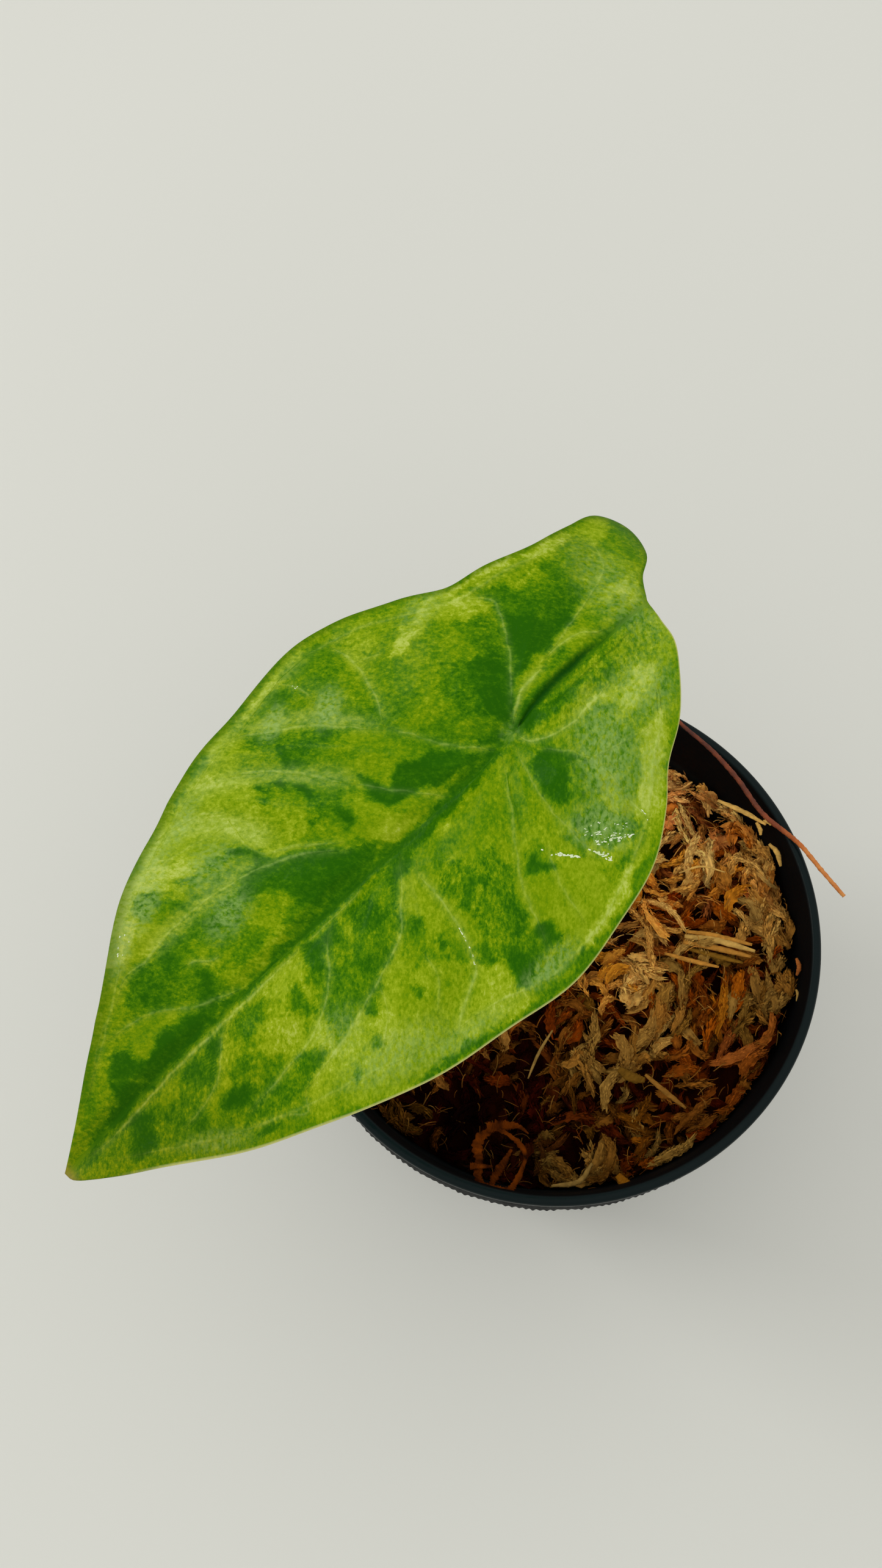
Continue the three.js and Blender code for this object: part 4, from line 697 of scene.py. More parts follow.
    (0.36, 0.5, [(-11, -4), (-9.6, -4.2), (-8, -3.7), (-7.2, -3), (-9.4, -2.5), (-10.8, -2.9)]),
    # inside the closed fold and the far lobe
    (0.46, 0.8, [(-21.3, -2), (-18, -1.6), (-12, -1.4), (-4, -0.4), (-1.6, 0.2), (-2, 2), (-6, 3.2),
        (-10.4, 2.8), (-14, 2.8), (-17, 2.4), (-19.4, 3), (-20.8, 2)]),
    (0.60, 0.4, [(-11.5, -0.3), (-10, -1), (-8.4, -0.9), (-6.8, -0.3), (-6.6, 0.5), (-8, 0.4), (-9.6, 0.3),
        (-11, 0.3)]),
    (0.22, 0.5, [(-9.6, 0.5), (-8, 0.4), (-6, 0.6), (-4.4, 0.2), (-2.4, 0), (-2, 0.9), (-3.4, 1.4),
        (-5, 1.5), (-7, 1.7), (-8.4, 1), (-9.6, 0.9)]),
    (0.64, 0.5, [(-9.9, 1.2), (-8.4, 1.1), (-8, 1.9), (-6, 2), (-3, 1.7), (-1.7, 1.6), (-2.2, 2.5), (-4, 3),
        (-6, 3.3), (-8.4, 3.1), (-9.9, 2.5)]),
    (0.22, 0.7, [(-13.8, 0.8), (-12.4, 0.8), (-11, 1.4), (-10.8, 2), (-12.6, 2.1), (-13.6, 1.6)]),
    (0.30, 0.4, [(-21, -2), (-18.6, -2.4), (-16.8, -1.9), (-17.6, -1.3), (-20, -1.2)]),
    (0.82, 0.4, [(-17.6, 3.6), (-15, 3), (-12, 3.2), (-9, 3.2), (-7, 3.5), (-8, 4), (-10, 4.3), (-11.8, 4.4),
        (-11, 5), (-10, 6), (-9.2, 6.9), (-12, 6.7), (-14, 6), (-16.4, 5.7), (-17.4, 4.6)]),
    (0.42, 0.4, [(-14.8, 3), (-12.4, 2.9), (-12, 3.8), (-14, 3.9)]),
    (0.42, 0.5, [(-17.8, 6.4), (-15, 6.6), (-13, 7), (-10, 7.4), (-11.6, 8.5), (-13.4, 9), (-15.4, 8.6)]),
    (0.84, 0.15, [(-13.8, 9.2), (-12, 8.8), (-10.4, 9.6), (-9.3, 11), (-7.8, 12.6), (-6.4, 14.1),
        (-5.3, 15.8), (-5.4, 17.4), (-7, 16.7), (-9, 14.5), (-11, 12.3), (-12.8, 10.7)]),
    (0.40, 0.5, [(-10.4, 4.6), (-7, 4), (-5, 4.3), (-2.6, 4.6), (-3.8, 6.8), (-4.6, 9), (-5, 11),
        (-4.9, 13.8), (-6, 14), (-7.6, 12.4), (-9.2, 10.6), (-10.2, 9), (-9.2, 7), (-10.4, 5.8)]),
    (0.62, 0.2, [(-4.9, 14.4), (-3.9, 14.6), (-3.9, 16.8), (-4.9, 17.8), (-5.3, 16)]),
    (0.38, 0.3, [(-20, 4.4), (-17, 7), (-14, 10.3), (-11, 13.3), (-8, 16.6), (-8.6, 16.7), (-12, 13.4),
        (-15.4, 10.6), (-18.6, 7), (-20.8, 4.4)]),
]

# Soft corrections of that tone after comparing with the photo: place, length, width, turn in degrees, change
TONE_SPOTS = [
    (0.5, -1.5, 5, 3.5, -40, -0.17), (5, 6, 7, 3.5, 10, -0.14), (14, 4, 6, 2.5, 0, -0.15),
    (10, -8, 5, 3, -50, -0.16), (20, -12, 5, 3.5, 60, -0.14), (14, -16, 4, 3, 50, -0.08),
    (14, -3, 4, 2, 0, -0.08), (21, -4, 4, 2.5, 0, -0.12), (20, 15, 4.5, 3, 0, -0.16),
    (27, 21, 6, 2, -10, -0.1), (39, 17, 4.5, 3, -15, -0.17), (51, -4.5, 3.5, 3, 0, -0.15),
    (52, 9, 6, 4, -35, -0.13), (55, 4, 4, 2.5, 0, -0.12), (62, 1.5, 5, 2, 0, -0.1),
    (-6, -8, 5, 2.5, 20, -0.12), (8, 16, 4, 3, 0, -0.08), (30, -11, 3, 4, 0, -0.08),
    (-22, -10, 4, 5, 0, 0.14), (-20, -2, 4, 6, 0, 0.14), (-10, -15.5, 7, 1.8, 0, 0.22),
    (-13, 1, 4, 2, 0, 0.14), (-1, 15.5, 3.5, 3, 0, 0.2), (9, -25, 7, 1.8, 5, 0.14), (34, -18, 4, 4, 0, 0.06),
    (34, 0.3, 4, 1.2, 0, 0.1), (53, -11, 6, 1.5, 35, 0.13), (-14, 8, 3, 3, 45, 0.1),
    (38, 12, 3.5, 3, 0, 0.14), (-2, 5, 3, 2.5, 0, 0.13), (18, 0, 4, 2, 0, 0.12), (22, 19, 4, 3, 0, -0.12),
    (37, -10, 6, 3.4, 20, 0.11), (-14, -12, 7, 2.6, 0, 0.11), (5, -0.6, 3, 2, 0, 0.1),
    (-5, 11, 4, 3, 50, 0.1), (17, -16, 3, 3, 0, 0.1), (2, -16, 3, 3, 0, -0.1), (34, 4, 3, 2.4, 0, -0.1),
    (22, -12, 3, 3, 0, -0.1), (54, -8, 3, 2.4, 30, 0.1), (6, -4.4, 3, 2, 0, -0.1), (6, -18, 5, 3.4, 0, 0.16),
    (29, -6.6, 3, 3, 0, 0.1), (15, 14, 3, 4, 0, 0.1), (-26, -11, 2, 3, 0, 0.12),
    (11.7, 3.2, 0.6, 0.45, 30, 0.4),
]
# Soft spots of painted sheen, a pale grey-green standing for the room's reflection on the blade, then
# spots where the blade is wet: place, length, width, turn in degrees, strength
PAINTED_SHEEN_PATCHES = [
    (-6, 9, 7, 3.2, 60, 0.8), (-0.5, 14.5, 3.4, 2.2, -50, 0.9), (13, -16.5, 2.4, 1.6, 40, 0.9),
    (18.4, -20.2, 2.2, 1.4, 30, 0.9), (35.5, -6.6, 3, 2, 10, 0.8), (42, -14.8, 3.6, 1.7, 30, 1),
    (12.6, 21.8, 3.6, 1.2, 0, 0.8), (33, -19, 4, 1.2, 20, 0.6), (-0.2, -0.4, 1.2, 0.9, 0, 0.35),
    (47, -13, 3.4, 1.3, 32, 0.9), (52, 11.4, 4, 1.2, -35, 0.5), (24, 21.4, 5, 1, -10, 0.5),
    (-20, -5, 3.4, 8, 0, 0.5), (-14, 5.4, 4, 3.4, 45, 0.65), (-8.6, 12, 3, 2.4, 50, 0.5),
    (-2, -18, 4, 1.8, 18, 0.45), (34, -12.4, 3.4, 2.6, 0, 0.65), (40, -17, 4, 2.4, 30, 0.6),
    (31, 18, 6, 2.4, -15, 0.55), (34, 12, 3, 2.4, 0, 0.4),
]
WET_PATCHES = [(-2.2, 17.6, 1.8, 1.1, 30, 1), (0.6, 15.4, 2, 1.2, -60, 1), (5, 14.6, 1.6, 0.5, -45, 1),
               (17.6, 13.6, 2.2, 0.45, 84, 1), (18.4, 16.6, 1, 0.5, 60, 1), (46, -13.4, 3.4, 1.3, 30, 0.7),
               (42, -6, 2.4, 0.5, -30, 0.7), (14, -21.6, 2.4, 0.4, 80, 0.5)]
# Wrinkled and puckered areas, in the same form
WRINKLED = [
    (-2.6, 10.6, 6, 4.2, 65, 0.75), (-0.6, 15, 3.2, 2.6, -50, 1), (45, -13.6, 6, 2.4, 30, 0.8),
    (-9, 0.9, 7, 1.4, 5, 0.8),
]
PUCKERED = [(38, -12.5, 7, 3.5, 30, 1), (0, 13, 5, 5, 0, 1), (44, -14, 5, 3, 30, 1)]
# Wet beads, painted pale as glints: from, to, how many, how far they stray, size
DROPS = [
    ((17.4, 12.4), (17.9, 14.8), 15, 0.05, 0.085), ((18.1, 15.6), (18.8, 17), 9, 0.05, 0.08),
    ((3.2, 15.4), (5.3, 13.2), 26, 0.1, 0.11), ((-2.8, 17.4), (0.6, 15.4), 30, 0.22, 0.1),
    ((-2.2, 16.2), (1.2, 14), 34, 0.5, 0.08), ((0.4, 17.8), (1.9, 15.4), 22, 0.16, 0.11),
    ((-5.2, 15), (-5.4, 17.4), 5, 0.1, 0.09), ((5.6, 12.3), (5.9, 12), 2, 0.05, 0.1),
    ((13.8, -20.6), (14.6, -22.6), 4, 0.1, 0.08), ((44, -14.6), (49, -12), 9, 0.5, 0.08),
]


def spot_weight(u, v, pu, pv, length, width, turn, power=1.6):
    """1 at the middle of an oval spot, falling softly to 0 past its reach."""
    c, s = math.cos(math.radians(turn)), math.sin(math.radians(turn))
    along = ((u - pu) * c + (v - pv) * s) / length
    across = (-(u - pu) * s + (v - pv) * c) / width
    return np.exp(-((along ** 2 + across ** 2) ** power))


def glow_field(u, v, patches, ground=0.0):
    """Soft oval spots, one over the other."""
    field = np.full(u.shape, float(ground))
    for *spot, level in patches:
        field += spot_weight(u, v, *spot) * (level - field)
    return field


def depth_inside(u, v, outline):
    """Distance to an outline, positive inside it."""
    inside = np.zeros(u.shape, bool)
    for (au, av), (bu, bv) in zip(outline, outline[1:] + outline[:1]):
        if av != bv:
            inside ^= ((av > v) != (bv > v)) & (u < (bu - au) * (v - av) / (bv - av) + au)
    away, _ = distance_to(u, v, outline + outline[:1])
    return np.where(inside, away, -away)


def mottling(u, v):
    """Tone of the patches, how speckled each place is and how near a border between tones."""
    u, v = u + 0.5 * value_noise(u / 1.6, v / 1.6, 1), v + 0.5 * value_noise(u / 1.5, v / 1.7, 3)
    tone, speckle, border = np.full(u.shape, 0.5), np.full(u.shape, 0.4), np.zeros(u.shape)
    soft = 0.55
    for value, broken, outline in PATCHES:
        weight = smoothstep(depth_inside(u, v, outline), -soft, soft)
        border = np.maximum(border * (1 - weight), 4 * weight * (1 - weight) * np.abs(value - tone))
        tone += weight * (value - tone)
        speckle += weight * (broken - speckle)
    for *spot, change in TONE_SPOTS:
        tone += change * spot_weight(u, v, *spot, power=1.0)
    return tone, speckle, border


def painted_lines(u, v):
    """How pale or dark the lines make each place: veins, bands of painted sheen, lines of painted shade."""
    drawn = np.zeros(u.shape)
    halo, halo_width = 0.3, 1.4
    for strength, width, path in LINES + PAINTED_SHEEN_BANDS:
        away, along = distance_to(u, v, curve(path, 24))
        ends = np.minimum(1, 8 * np.minimum(along, 1 - along) + 0.25)
        line = halo * strength * ends * np.exp(-(away / (halo_width * width)) ** 2)
        drawn = np.where(np.abs(line) > np.abs(drawn), line, drawn)
    return drawn


def crease_pattern(u, v):
    """The line where the lobes close on each other behind the junction: a groove in the relief, and in the
    colour a dark line of painted shade.
    """
    away, along = distance_to(u, v, curve(CREASE, 40))
    width = 0.14 + 0.34 * np.sin(math.pi * np.clip(along * 1.5, 0, 1))
    return np.exp(-(away / width) ** 2) * (1 - 0.75 * smoothstep(along, 0.5, 0.75))


def nearest_vein(u, v):
    """Distance to the nearest side vein."""
    return np.minimum.reduce([distance_to(u, v, path)[0] for path in SIDE_VEINS])


def upper_face(u, v, margin, veins):
    """Height of the blade's upper face, and the same without its fine relief."""
    inner = 1 - smoothstep(margin, 0.93, 1.0)
    fold = v - fold_line(u)
    height = blade_form(u, v, margin, veins)
    filled = smoothstep(-u, 1, 4) * (1 - 0.5 * smoothstep(-u, 16, 22))
    height += filled * (1.5 * np.exp(-(fold / 1.4) ** 2) + 1.1 * np.exp(-(fold / 3) ** 2))
    pucker = value_noise(u / 2.1, v / 1.7, 5) * 0.16 + value_noise(u / 0.9, v / 0.9, 6) * 0.06
    wrinkled = glow_field(u, v, WRINKLED)
    relief = wrinkled * (0.17 * value_noise(u / 0.6, v / 0.65, 8) + 0.2 * value_noise(u / 1.2, v / 1.3, 14))
    relief += glow_field(u, v, PUCKERED, 0.45) * pucker * inner - 0.3 * crease_pattern(u, v)
    return height + relief, height


def blade_values(u, v, margin):
    """What the leaf's materials need to know at each place."""
    tone, speckle, border = mottling(u, v)
    fold = v - fold_line(u)
    turn = np.where(fold < 0, math.radians(-48), math.radians(52))
    grain = np.stack([0.7 * (u * np.cos(turn) + v * np.sin(turn)), -u * np.sin(turn) + v * np.cos(turn),
                      np.where(fold < 0, 0, 40)], axis=1)
    # Darker green along the closed fold: painted shade
    near_crease, along = distance_to(u, v, CREASE)
    tone = tone - 0.34 * np.exp(-(near_crease / 0.9) ** 2) * (1 - 0.4 * smoothstep(along, 0.6, 1))
    # Margin: pale edge of painted highlight where v is above zero, darker band of painted shade below
    pale = smoothstep(margin, 0.992, 1.0) * smoothstep(v - 0.12 * u, -2, 4)
    dark = smoothstep(margin, 0.955, 0.99) * smoothstep(-v, -1, 5)
    warm = smoothstep(u, 34, 60) * (0.45 + 0.45 * smoothstep(v, -4, 6))
    return {"tone": tone, "speckle": speckle, "border": border, "painted_sheen": glow_field(u, v, PAINTED_SHEEN_PATCHES),
            "edge": pale - dark, "wet": glow_field(u, v, WET_PATCHES), "grain": grain,
            "crease": crease_pattern(u, v), "tipness": smoothstep(u, 66.6, 68.2), "warm": warm}


def leaf_edge(count):
    """Places round the blade's edge, count of them on each of its two sides."""
    return np.vstack([curve(side, count + 1)[:-1] for side in (TIP_SIDE_A, TIP_SIDE_B[::-1])])


def make_leaf():
    half, rings = 205, 112
    edge = leaf_edge(half)
    rays = len(edge)
    share = (np.arange(1, rings + 1) / rings) ** 0.9
    u = np.concatenate([[0.0], (share[:, None] * edge[None, :, 0]).ravel()])
    v = np.concatenate([[0.0], (share[:, None] * edge[None, :, 1]).ravel()])
    margin = np.concatenate([[0.0], np.repeat(share, rays)])
    veins = nearest_vein(u, v)
    inner = 1 - smoothstep(margin, 0.93, 1.0)
    height, smooth = upper_face(u, v, margin, veins)
    fold = v - fold_line(u)
    rib = np.where(u < -4, 0, 1.1 * (1 - smoothstep(u, 0, 66)) * np.exp(-(fold / 1.3) ** 2))
    thick = 0.5 - 0.22 * margin ** 4
    under = np.minimum(smooth, height) - thick - rib - 0.3 * np.exp(-(veins / 0.5) ** 2) * inner
    top, low = on_blade(u, v, height, FACE_TOP), on_blade(u, v, under, UNDER_TOP)
    count = len(u)
    rim = 1 + (rings - 1) * rays
    upper = [(0, 1 + k, 1 + (k + 1) % rays) for k in range(rays)]
    upper += [f[::-1] for f in grid_faces(rings, rays, 1)]
    lower = [tuple(count + i for i in f[::-1]) for f in upper]
    round_rim = [(rim + k, rim + (k + 1) % rays) for k in range(rays)]
    wall = [(b, a, count + a, count + b) for a, b in round_rim]
    values = blade_values(u, v, margin)
    values["drawn"] = painted_lines(u, v)
    values = {key: np.concatenate([value, value]) for key, value in values.items()}
    skin = leaf_material()
    piece = make_piece("leaf_blade_fine", np.vstack([top, low]), upper + lower + wall,
                       [skin, leaf_under_material()], ["leaf_blade"], values)
    index = np.zeros(len(piece.data.polygons), np.int32)
    index[len(upper):len(upper) + len(lower)] = 1
    piece.data.polygons.foreach_set("material_index", index)
    make_veins(skin)


def cells(tree, vector, scale):
    """A steady random value, 0 to 1, in each small cell."""
    colour = add(tree, "ShaderNodeTexVoronoi", {"Vector": vector, "Scale": scale}).outputs["Color"]
    return add(tree, "ShaderNodeSeparateColor", {"Color": colour}).outputs["Red"]


def share_of_way_out(u, v):
    """0 at the junction and 1 on the blade's edge."""
    edge = leaf_edge(299)
    bearing = np.arctan2(edge[:, 1], edge[:, 0])
    order = np.argsort(bearing)
    reach = np.interp(np.arctan2(v, u), bearing[order], np.hypot(*edge.T)[order], period=2 * math.pi)
    return np.hypot(u, v) / reach


def leaf_height(u, v):
    """The upper face's height at single places."""
    margin = share_of_way_out(u, v)
    return upper_face(u, v, margin, nearest_vein(u, v))[0]


def on_blade(u, v, height, top=LEAF_TOP):
    """Places on the blade in the shared frame, none past the solid leaf's front or top."""
    c, s = math.cos(HEADING), math.sin(HEADING)
    y, z = JUNCTION[1] + u * s + v * c, JUNCTION[2] + height
    return np.stack([JUNCTION[0] + u * c - v * s, np.maximum(y, LEAF_FRONT), np.minimum(z, top)], axis=-1)


def make_veins(material):
    """Thin raised strips along the painted lines, in the blade's colours, so that the lines are crisp: the
    veins, a line of painted glint and dark lines of painted shade.
    """
    us, vs, rises, lines, faces, count = [], [], [], [], [], 0
    half, columns, raised, sunk = 1.4, 5, 0.055, 0.01
    offsets = np.linspace(-half, half, columns)
    for strength, width, path in LINES:
        length = np.linalg.norm(np.diff(np.array(path, float), axis=0), axis=1).sum()
        steps = max(8, int(length / 0.3))
        centre = curve(path, steps)
        along = unit(np.gradient(centre, axis=0))
        share = np.linspace(0, 1, steps)
        taper = np.minimum(1, 5 * np.minimum(share, 1 - share) + 0.1)
        wander = 0.1 * value_noise(centre[:, 0] / 0.9, centre[:, 1] / 0.9, 31)
        swell = 0.55 * width * taper * (1 + 0.35 * value_noise(centre[:, 0] / 1.3, centre[:, 1] / 1.3, 32))
        away = wander[:, None] + swell[:, None] * offsets[None, :]
        us.append((centre[:, :1] - along[:, 1:] * away).ravel())
        vs.append((centre[:, 1:] + along[:, :1] * away).ravel())
        rises.append(np.tile(raised * (1 - (offsets / half) ** 2) - sunk, steps))
        lines.append((strength * taper[:, None] * np.exp(-offsets[None, :] ** 2)).ravel())
        faces += grid_faces(steps, columns, count, closed=False)
        count += columns * steps
    u, v, rise, line = map(np.concatenate, (us, vs, rises, lines))
    points = on_blade(u, v, leaf_height(u, v) + rise)
    values = blade_values(u, v, share_of_way_out(u, v))
    values["drawn"] = line
    make_piece("leaf_veins", points, faces, material, ["leaf_blade"], values)


def make_drops():
    """Flat wet beads along the veins, and in the hollow by the right-hand margin, in a pale near-white that
    is painted glint.
    """
    material, tree = new_tree("water_painted_glint")
    tone = spread(tree, noise(tree, place(tree), 900, 2), 0.3, 0.7, 0.35, 0.65)
    # A pale near-white: painted glints on the beads
    colour = ramp(tree, tone, [(0.3, (206, 222, 170)), (0.7, (236, 242, 220))])
    surface(tree, Base_Color=colour, Roughness=0.08, Specular_IOR_Level=0.5)
    bundle = Bundle()
    sides = 8
    ring = [(math.cos(a), math.sin(a)) for a in np.linspace(0, 2 * math.pi, sides + 1)[:-1]]
    for (au, av), (bu, bv), count, stray, size in DROPS:
        for _ in range(count):
            share = rng.random()
            u = au + (bu - au) * share + rng.normal(0, stray)
            v = av + (bv - av) * share + rng.normal(0, stray)
            turn = math.atan2(bv - av, bu - au) + rng.uniform(-0.5, 0.5)
            long, wide = size * rng.uniform(0.7, 2.4), size * rng.uniform(0.5, 0.9)
            rows = []
            for reach, lift in ((1.0, 0.0), (0.75, 0.55), (0.3, 0.8)):
                for c, t in ring:
                    du = reach * (c * long * math.cos(turn) - t * wide * math.sin(turn))
                    dv = reach * (c * long * math.sin(turn) + t * wide * math.cos(turn))
                    rows.append((u + du, v + dv, lift * wide))
            rows = np.array(rows)
            points = on_blade(rows[:, 0], rows[:, 1], leaf_height(rows[:, 0], rows[:, 1]) + rows[:, 2])
            faces = grid_faces(3, sides) + [tuple(range(2 * sides, 3 * sides))]
            bundle.put(points, faces, (1, 1, 1))
    bundle.make("leaf_drops", material)


def mottled_tone(tree, strength):
    """The patches' tone, with borders dissolved in small cells, blotches inside, and the lines' paleness and
    darkness: lighter veins, bands of painted sheen and dark lines of painted shade.
    """
    grain = attribute(tree, "grain", "Vector")
    border = attribute(tree, "border")
    amount = spread(tree, attribute(tree, "speckle"), 0, 1, 0.45 * strength, 1.25 * strength)
    parts = [
        (border, cells(tree, grain, 2.3), 0.75), (border, cells(tree, grain, 1.1), 0.4),
        (amount, noise(tree, grain, 0.42, 5, 0.6, 0.6), 0.8),
        (amount, noise(tree, grain, 1.7, 5, 0.7, 0.3), 1.1),
        (amount, cells(tree, grain, 2.9), 0.13), (amount, noise(tree, grain, 3.1, 4, 0.75), 1.1),
    ]
    total = attribute(tree, "tone")
    for share, value, weight in parts:
        centred = times(tree, math_node(tree, "SUBTRACT", value, 0.5), weight)
        total = math_node(tree, "ADD", total, times(tree, centred, share))
    veil = spread(tree, noise(tree, grain, 1.3, 3), 0.35, 0.65, 0.06, 0.22)
    return math_node(tree, "ADD", total, times(tree, attribute(tree, "drawn"), veil))


def leaf_material():
    material, tree = new_tree("leaf_top")
    colour = ramp(tree, mottled_tone(tree, 1.0), [
        (0.0, (36, 91, 0)), (0.2, (52, 105, 0)), (0.4, (80, 126, 0)), (0.6, (118, 147, 0)),
        (0.8, (148, 170, 26)), (1.0, (178, 194, 84)),
    ])
    grain = attribute(tree, "grain", "Vector")
    drawn = attribute(tree, "drawn")
    edge = attribute(tree, "edge")
    # Noise that breaks up the painted sheen, the pale grey-green that stands for the room's reflection
    painted_sheen_grain = spread(tree, noise(tree, grain, 1.9, 5, 0.65, 0.4), 0.4, 0.6, 0.05, 0.85)
    veil = spread(tree, noise(tree, grain, 1.7, 3), 0.35, 0.65, 0.14, 0.5)
    # Over the mottling: painted sheen, pale veins with bands of painted sheen, and dark lines of painted
    # shade
    colour = glaze(tree, colour, [
        (times(tree, attribute(tree, "painted_sheen"), painted_sheen_grain), (140, 172, 92)),
        (times(tree, spread(tree, drawn, 0, 1), veil), (168, 192, 108)),
        (spread(tree, drawn, 0, -1, 0, 0.8), (34, 86, 2)),
    ])
    colour = mix(tree, attribute(tree, "warm"), colour, (1.0, 0.78, 0.4), "MULTIPLY")
    colour = glaze(tree, colour, [
        # the margin's painted highlight, then its painted shade
        (spread(tree, edge, 0, 1, 0, 0.9), (212, 210, 130)),
        (spread(tree, edge, 0, -1, 0, 0.6), (52, 98, 0)),
        # painted shade in the closed fold
        (times(tree, attribute(tree, "crease"), 0.9), (12, 66, 4)),
        (times(tree, attribute(tree, "tipness"), 0.8), (148, 128, 50)),
    ])
    normal = bump(tree, noise(tree, place(tree), 520, 3), 0.4, 0.0004)
    normal = bump(tree, noise(tree, place(tree), 1500, 2), 0.15, 0.0002, normal)
    rough = spread(tree, noise(tree, place(tree), 240, 3), 0.3, 0.7, 0.27, 0.38)
    rough = math_node(tree, "SUBTRACT", rough, times(tree, attribute(tree, "wet"), 0.22))
    surface(tree, Base_Color=colour, Roughness=rough, Normal=normal, Specular_IOR_Level=0.03)
    return material


def leaf_under_material():
    material, tree = new_tree("leaf_under")
    stops = [(0.1, (78, 120, 58)), (0.45, (108, 146, 66)), (0.9, (150, 176, 92))]
    colour = ramp(tree, mottled_tone(tree, 0.6), stops)
    normal = bump(tree, noise(tree, place(tree), 700, 3), 0.3, 0.0003)
    surface(tree, Base_Color=colour, Roughness=0.55, Normal=normal)
    return material


# Limbs: tubes along a route with a width at each step, for stems, strands and fibres

def limb(route, radii, sides, steps, flat=1.0, across=(0, 0, 1), ragged=0.0, twist=0.0):
    """Points and quads of a tube that closes to a point at both ends."""
    centre = curve(route, steps + 1)
    along = np.gradient(centre, axis=0)
    along /= np.linalg.norm(along, axis=1, keepdims=True)
    side = unit(np.cross(along, np.array(across, float)))
    up = np.cross(side, along)
    radius = np.interp(np.linspace(0, 1, steps + 1), np.linspace(0, 1, len(radii)), radii)
    angle = turns(sides)
    turn = angle[None, :] + twist * np.linspace(0, 1, steps + 1)[:, None]
    swell = radius[:, None] * (1 + ragged * rng.uniform(-1, 1, (steps + 1, sides)))
    points = (centre[:, None] + side[:, None] * (swell * np.cos(turn))[..., None]
              + up[:, None] * (flat * swell * np.sin(turn))[..., None])
    points = np.vstack([points.reshape(-1, 3), centre[0], centre[-1]])
    faces = grid_faces(steps + 1, sides)
    last = steps * sides
    start, end = len(points) - 2, len(points) - 1
    for k in range(sides):
        faces.append((start, (k + 1) % sides, k))
        faces.append((end, last + k, last + (k + 1) % sides))
    return points, faces


class Bundle:
    """Many small shapes joined in one mesh, each point with its own tint."""

    def __init__(self):
        self.points, self.faces, self.tints, self.count = [], [], [], 0

    def put(self, points, faces, tint):
        points = np.asarray(points)
        tint = np.asarray(tint, float)
        self.points.append(points)
        self.tints.append(np.broadcast_to(tint, points.shape) if tint.ndim == 1 else tint)
        self.faces += [tuple(self.count + i for i in f) for f in faces]
        self.count += len(points)

    def make(self, name, material, replaces=()):
        return make_piece(name, np.vstack(self.points), self.faces, material, replaces,
                          {"tint": np.vstack(self.tints)})


# Petiole

def make_petiole():
    low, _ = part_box("petiole")
    foot = low[2] / MM
    route = [(1, 2, foot), (0.9, 2.1, 62), (-0.4, 2.5, 85), (-4.4, 3, 118), (-9, 3, 143.6)]
    radii = [3.5, 4.0, 2.5, 1.8, 1.7, 2.0]
    points, faces = limb(route, radii, 40, 120, across=(1, 0, 0))
    make_piece("petiole_fine", points, faces, petiole_material(), ["petiole"])


def petiole_material():
    material, tree = new_tree("petiole_skin")
    spot = add(tree, "ShaderNodeMapping", {"Vector": place(tree), "Scale": (1, 1, 0.25)}).outputs["Vector"]
    streak = noise(tree, spot, 900, 4, 0.65)
    colour = ramp(tree, streak, [(0.35, (92, 118, 44)), (0.55, (134, 156, 66)), (0.72, (172, 184, 104))])
    surface(tree, Base_Color=colour, Roughness=0.4, Normal=bump(tree, streak, 0.2, 0.0003))
    return material


# Pot

def make_pot():
    """The wall turned round the pot's axis: radius, height and how strongly each place of it is ribbed."""
    floor_top, skirt_top, skirt_bottom = 3.0, 67.6, 59.0
    profile = [
        (0.01, 0, 0), (9, 0, 0), (9, 1.4, 0), (25.5, 1.4, 0), (25.5, 0, 0), (27.6, 0, 0), (28.2, 0.25, 0),
        (28.5, 0.9, 0), (32.8, 30, 0), (37.4, skirt_bottom, 0), (38.1, 64, 0), (38.5, 64, 0),
        (38.5, skirt_bottom, 0), (39.1, skirt_bottom, 0.4), (39.3, skirt_bottom + 0.3, 1), (39.3, 62, 1),
        (39.3, 65, 1), (39.3, 67.0, 1), (39.25, 67.5, 0.4), (38.95, skirt_top + 0.2, 0),
        (38.95, skirt_top + 0.5, 0), (39.6, skirt_top + 0.8, 0), (39.82, 69.0, 0), (39.8, 69.45, 0),
        (39.6, 69.8, 0), (39.25, 69.98, 0), (38.75, 70, 0), (38.45, 69.88, 0), (38.3, 69.6, 0),
        (37.65, 66, 0), (35.3, 52, 0), (31.4, 28.5, 0), (27.4, 4, 0), (26.8, floor_top, 0),
        (0.01, floor_top, 0),
    ]
    segments, ribs, rib_depth = 1200, 240, 0.26
    angle = turns(segments)
    worn = 0.6 + 0.4 * value_noise(angle * 38, np.zeros(segments), 17)
    tooth = rib_depth * worn * (0.5 + 0.5 * np.cos(ribs * angle + 0.8 * worn))
    rows = []
    for r, z, ribbed in profile:
        radius = r + ribbed * (tooth - 0.1 + 0.08 * value_noise(angle * 30, np.full(segments, z / 4.0), 9))
        height = np.full(segments, float(z))
        rows.append(np.stack([radius * np.cos(angle), radius * np.sin(angle), height], axis=1))
    points = np.vstack(rows)
    faces = grid_faces(len(profile), segments)
    inner = (len(profile) - 1) * segments
    faces += [(inner + k, inner + (k + 1) % segments, (k + 1) % segments, k) for k in range(segments)]
    piece = make_piece("pot_fine", points, faces, pot_material(), ["pot"])
    holes, out, radius = 6, 17, 3
    drill(piece, [(out, 360 / holes * k, radius) for k in range(holes)], -1, floor_top + 2)


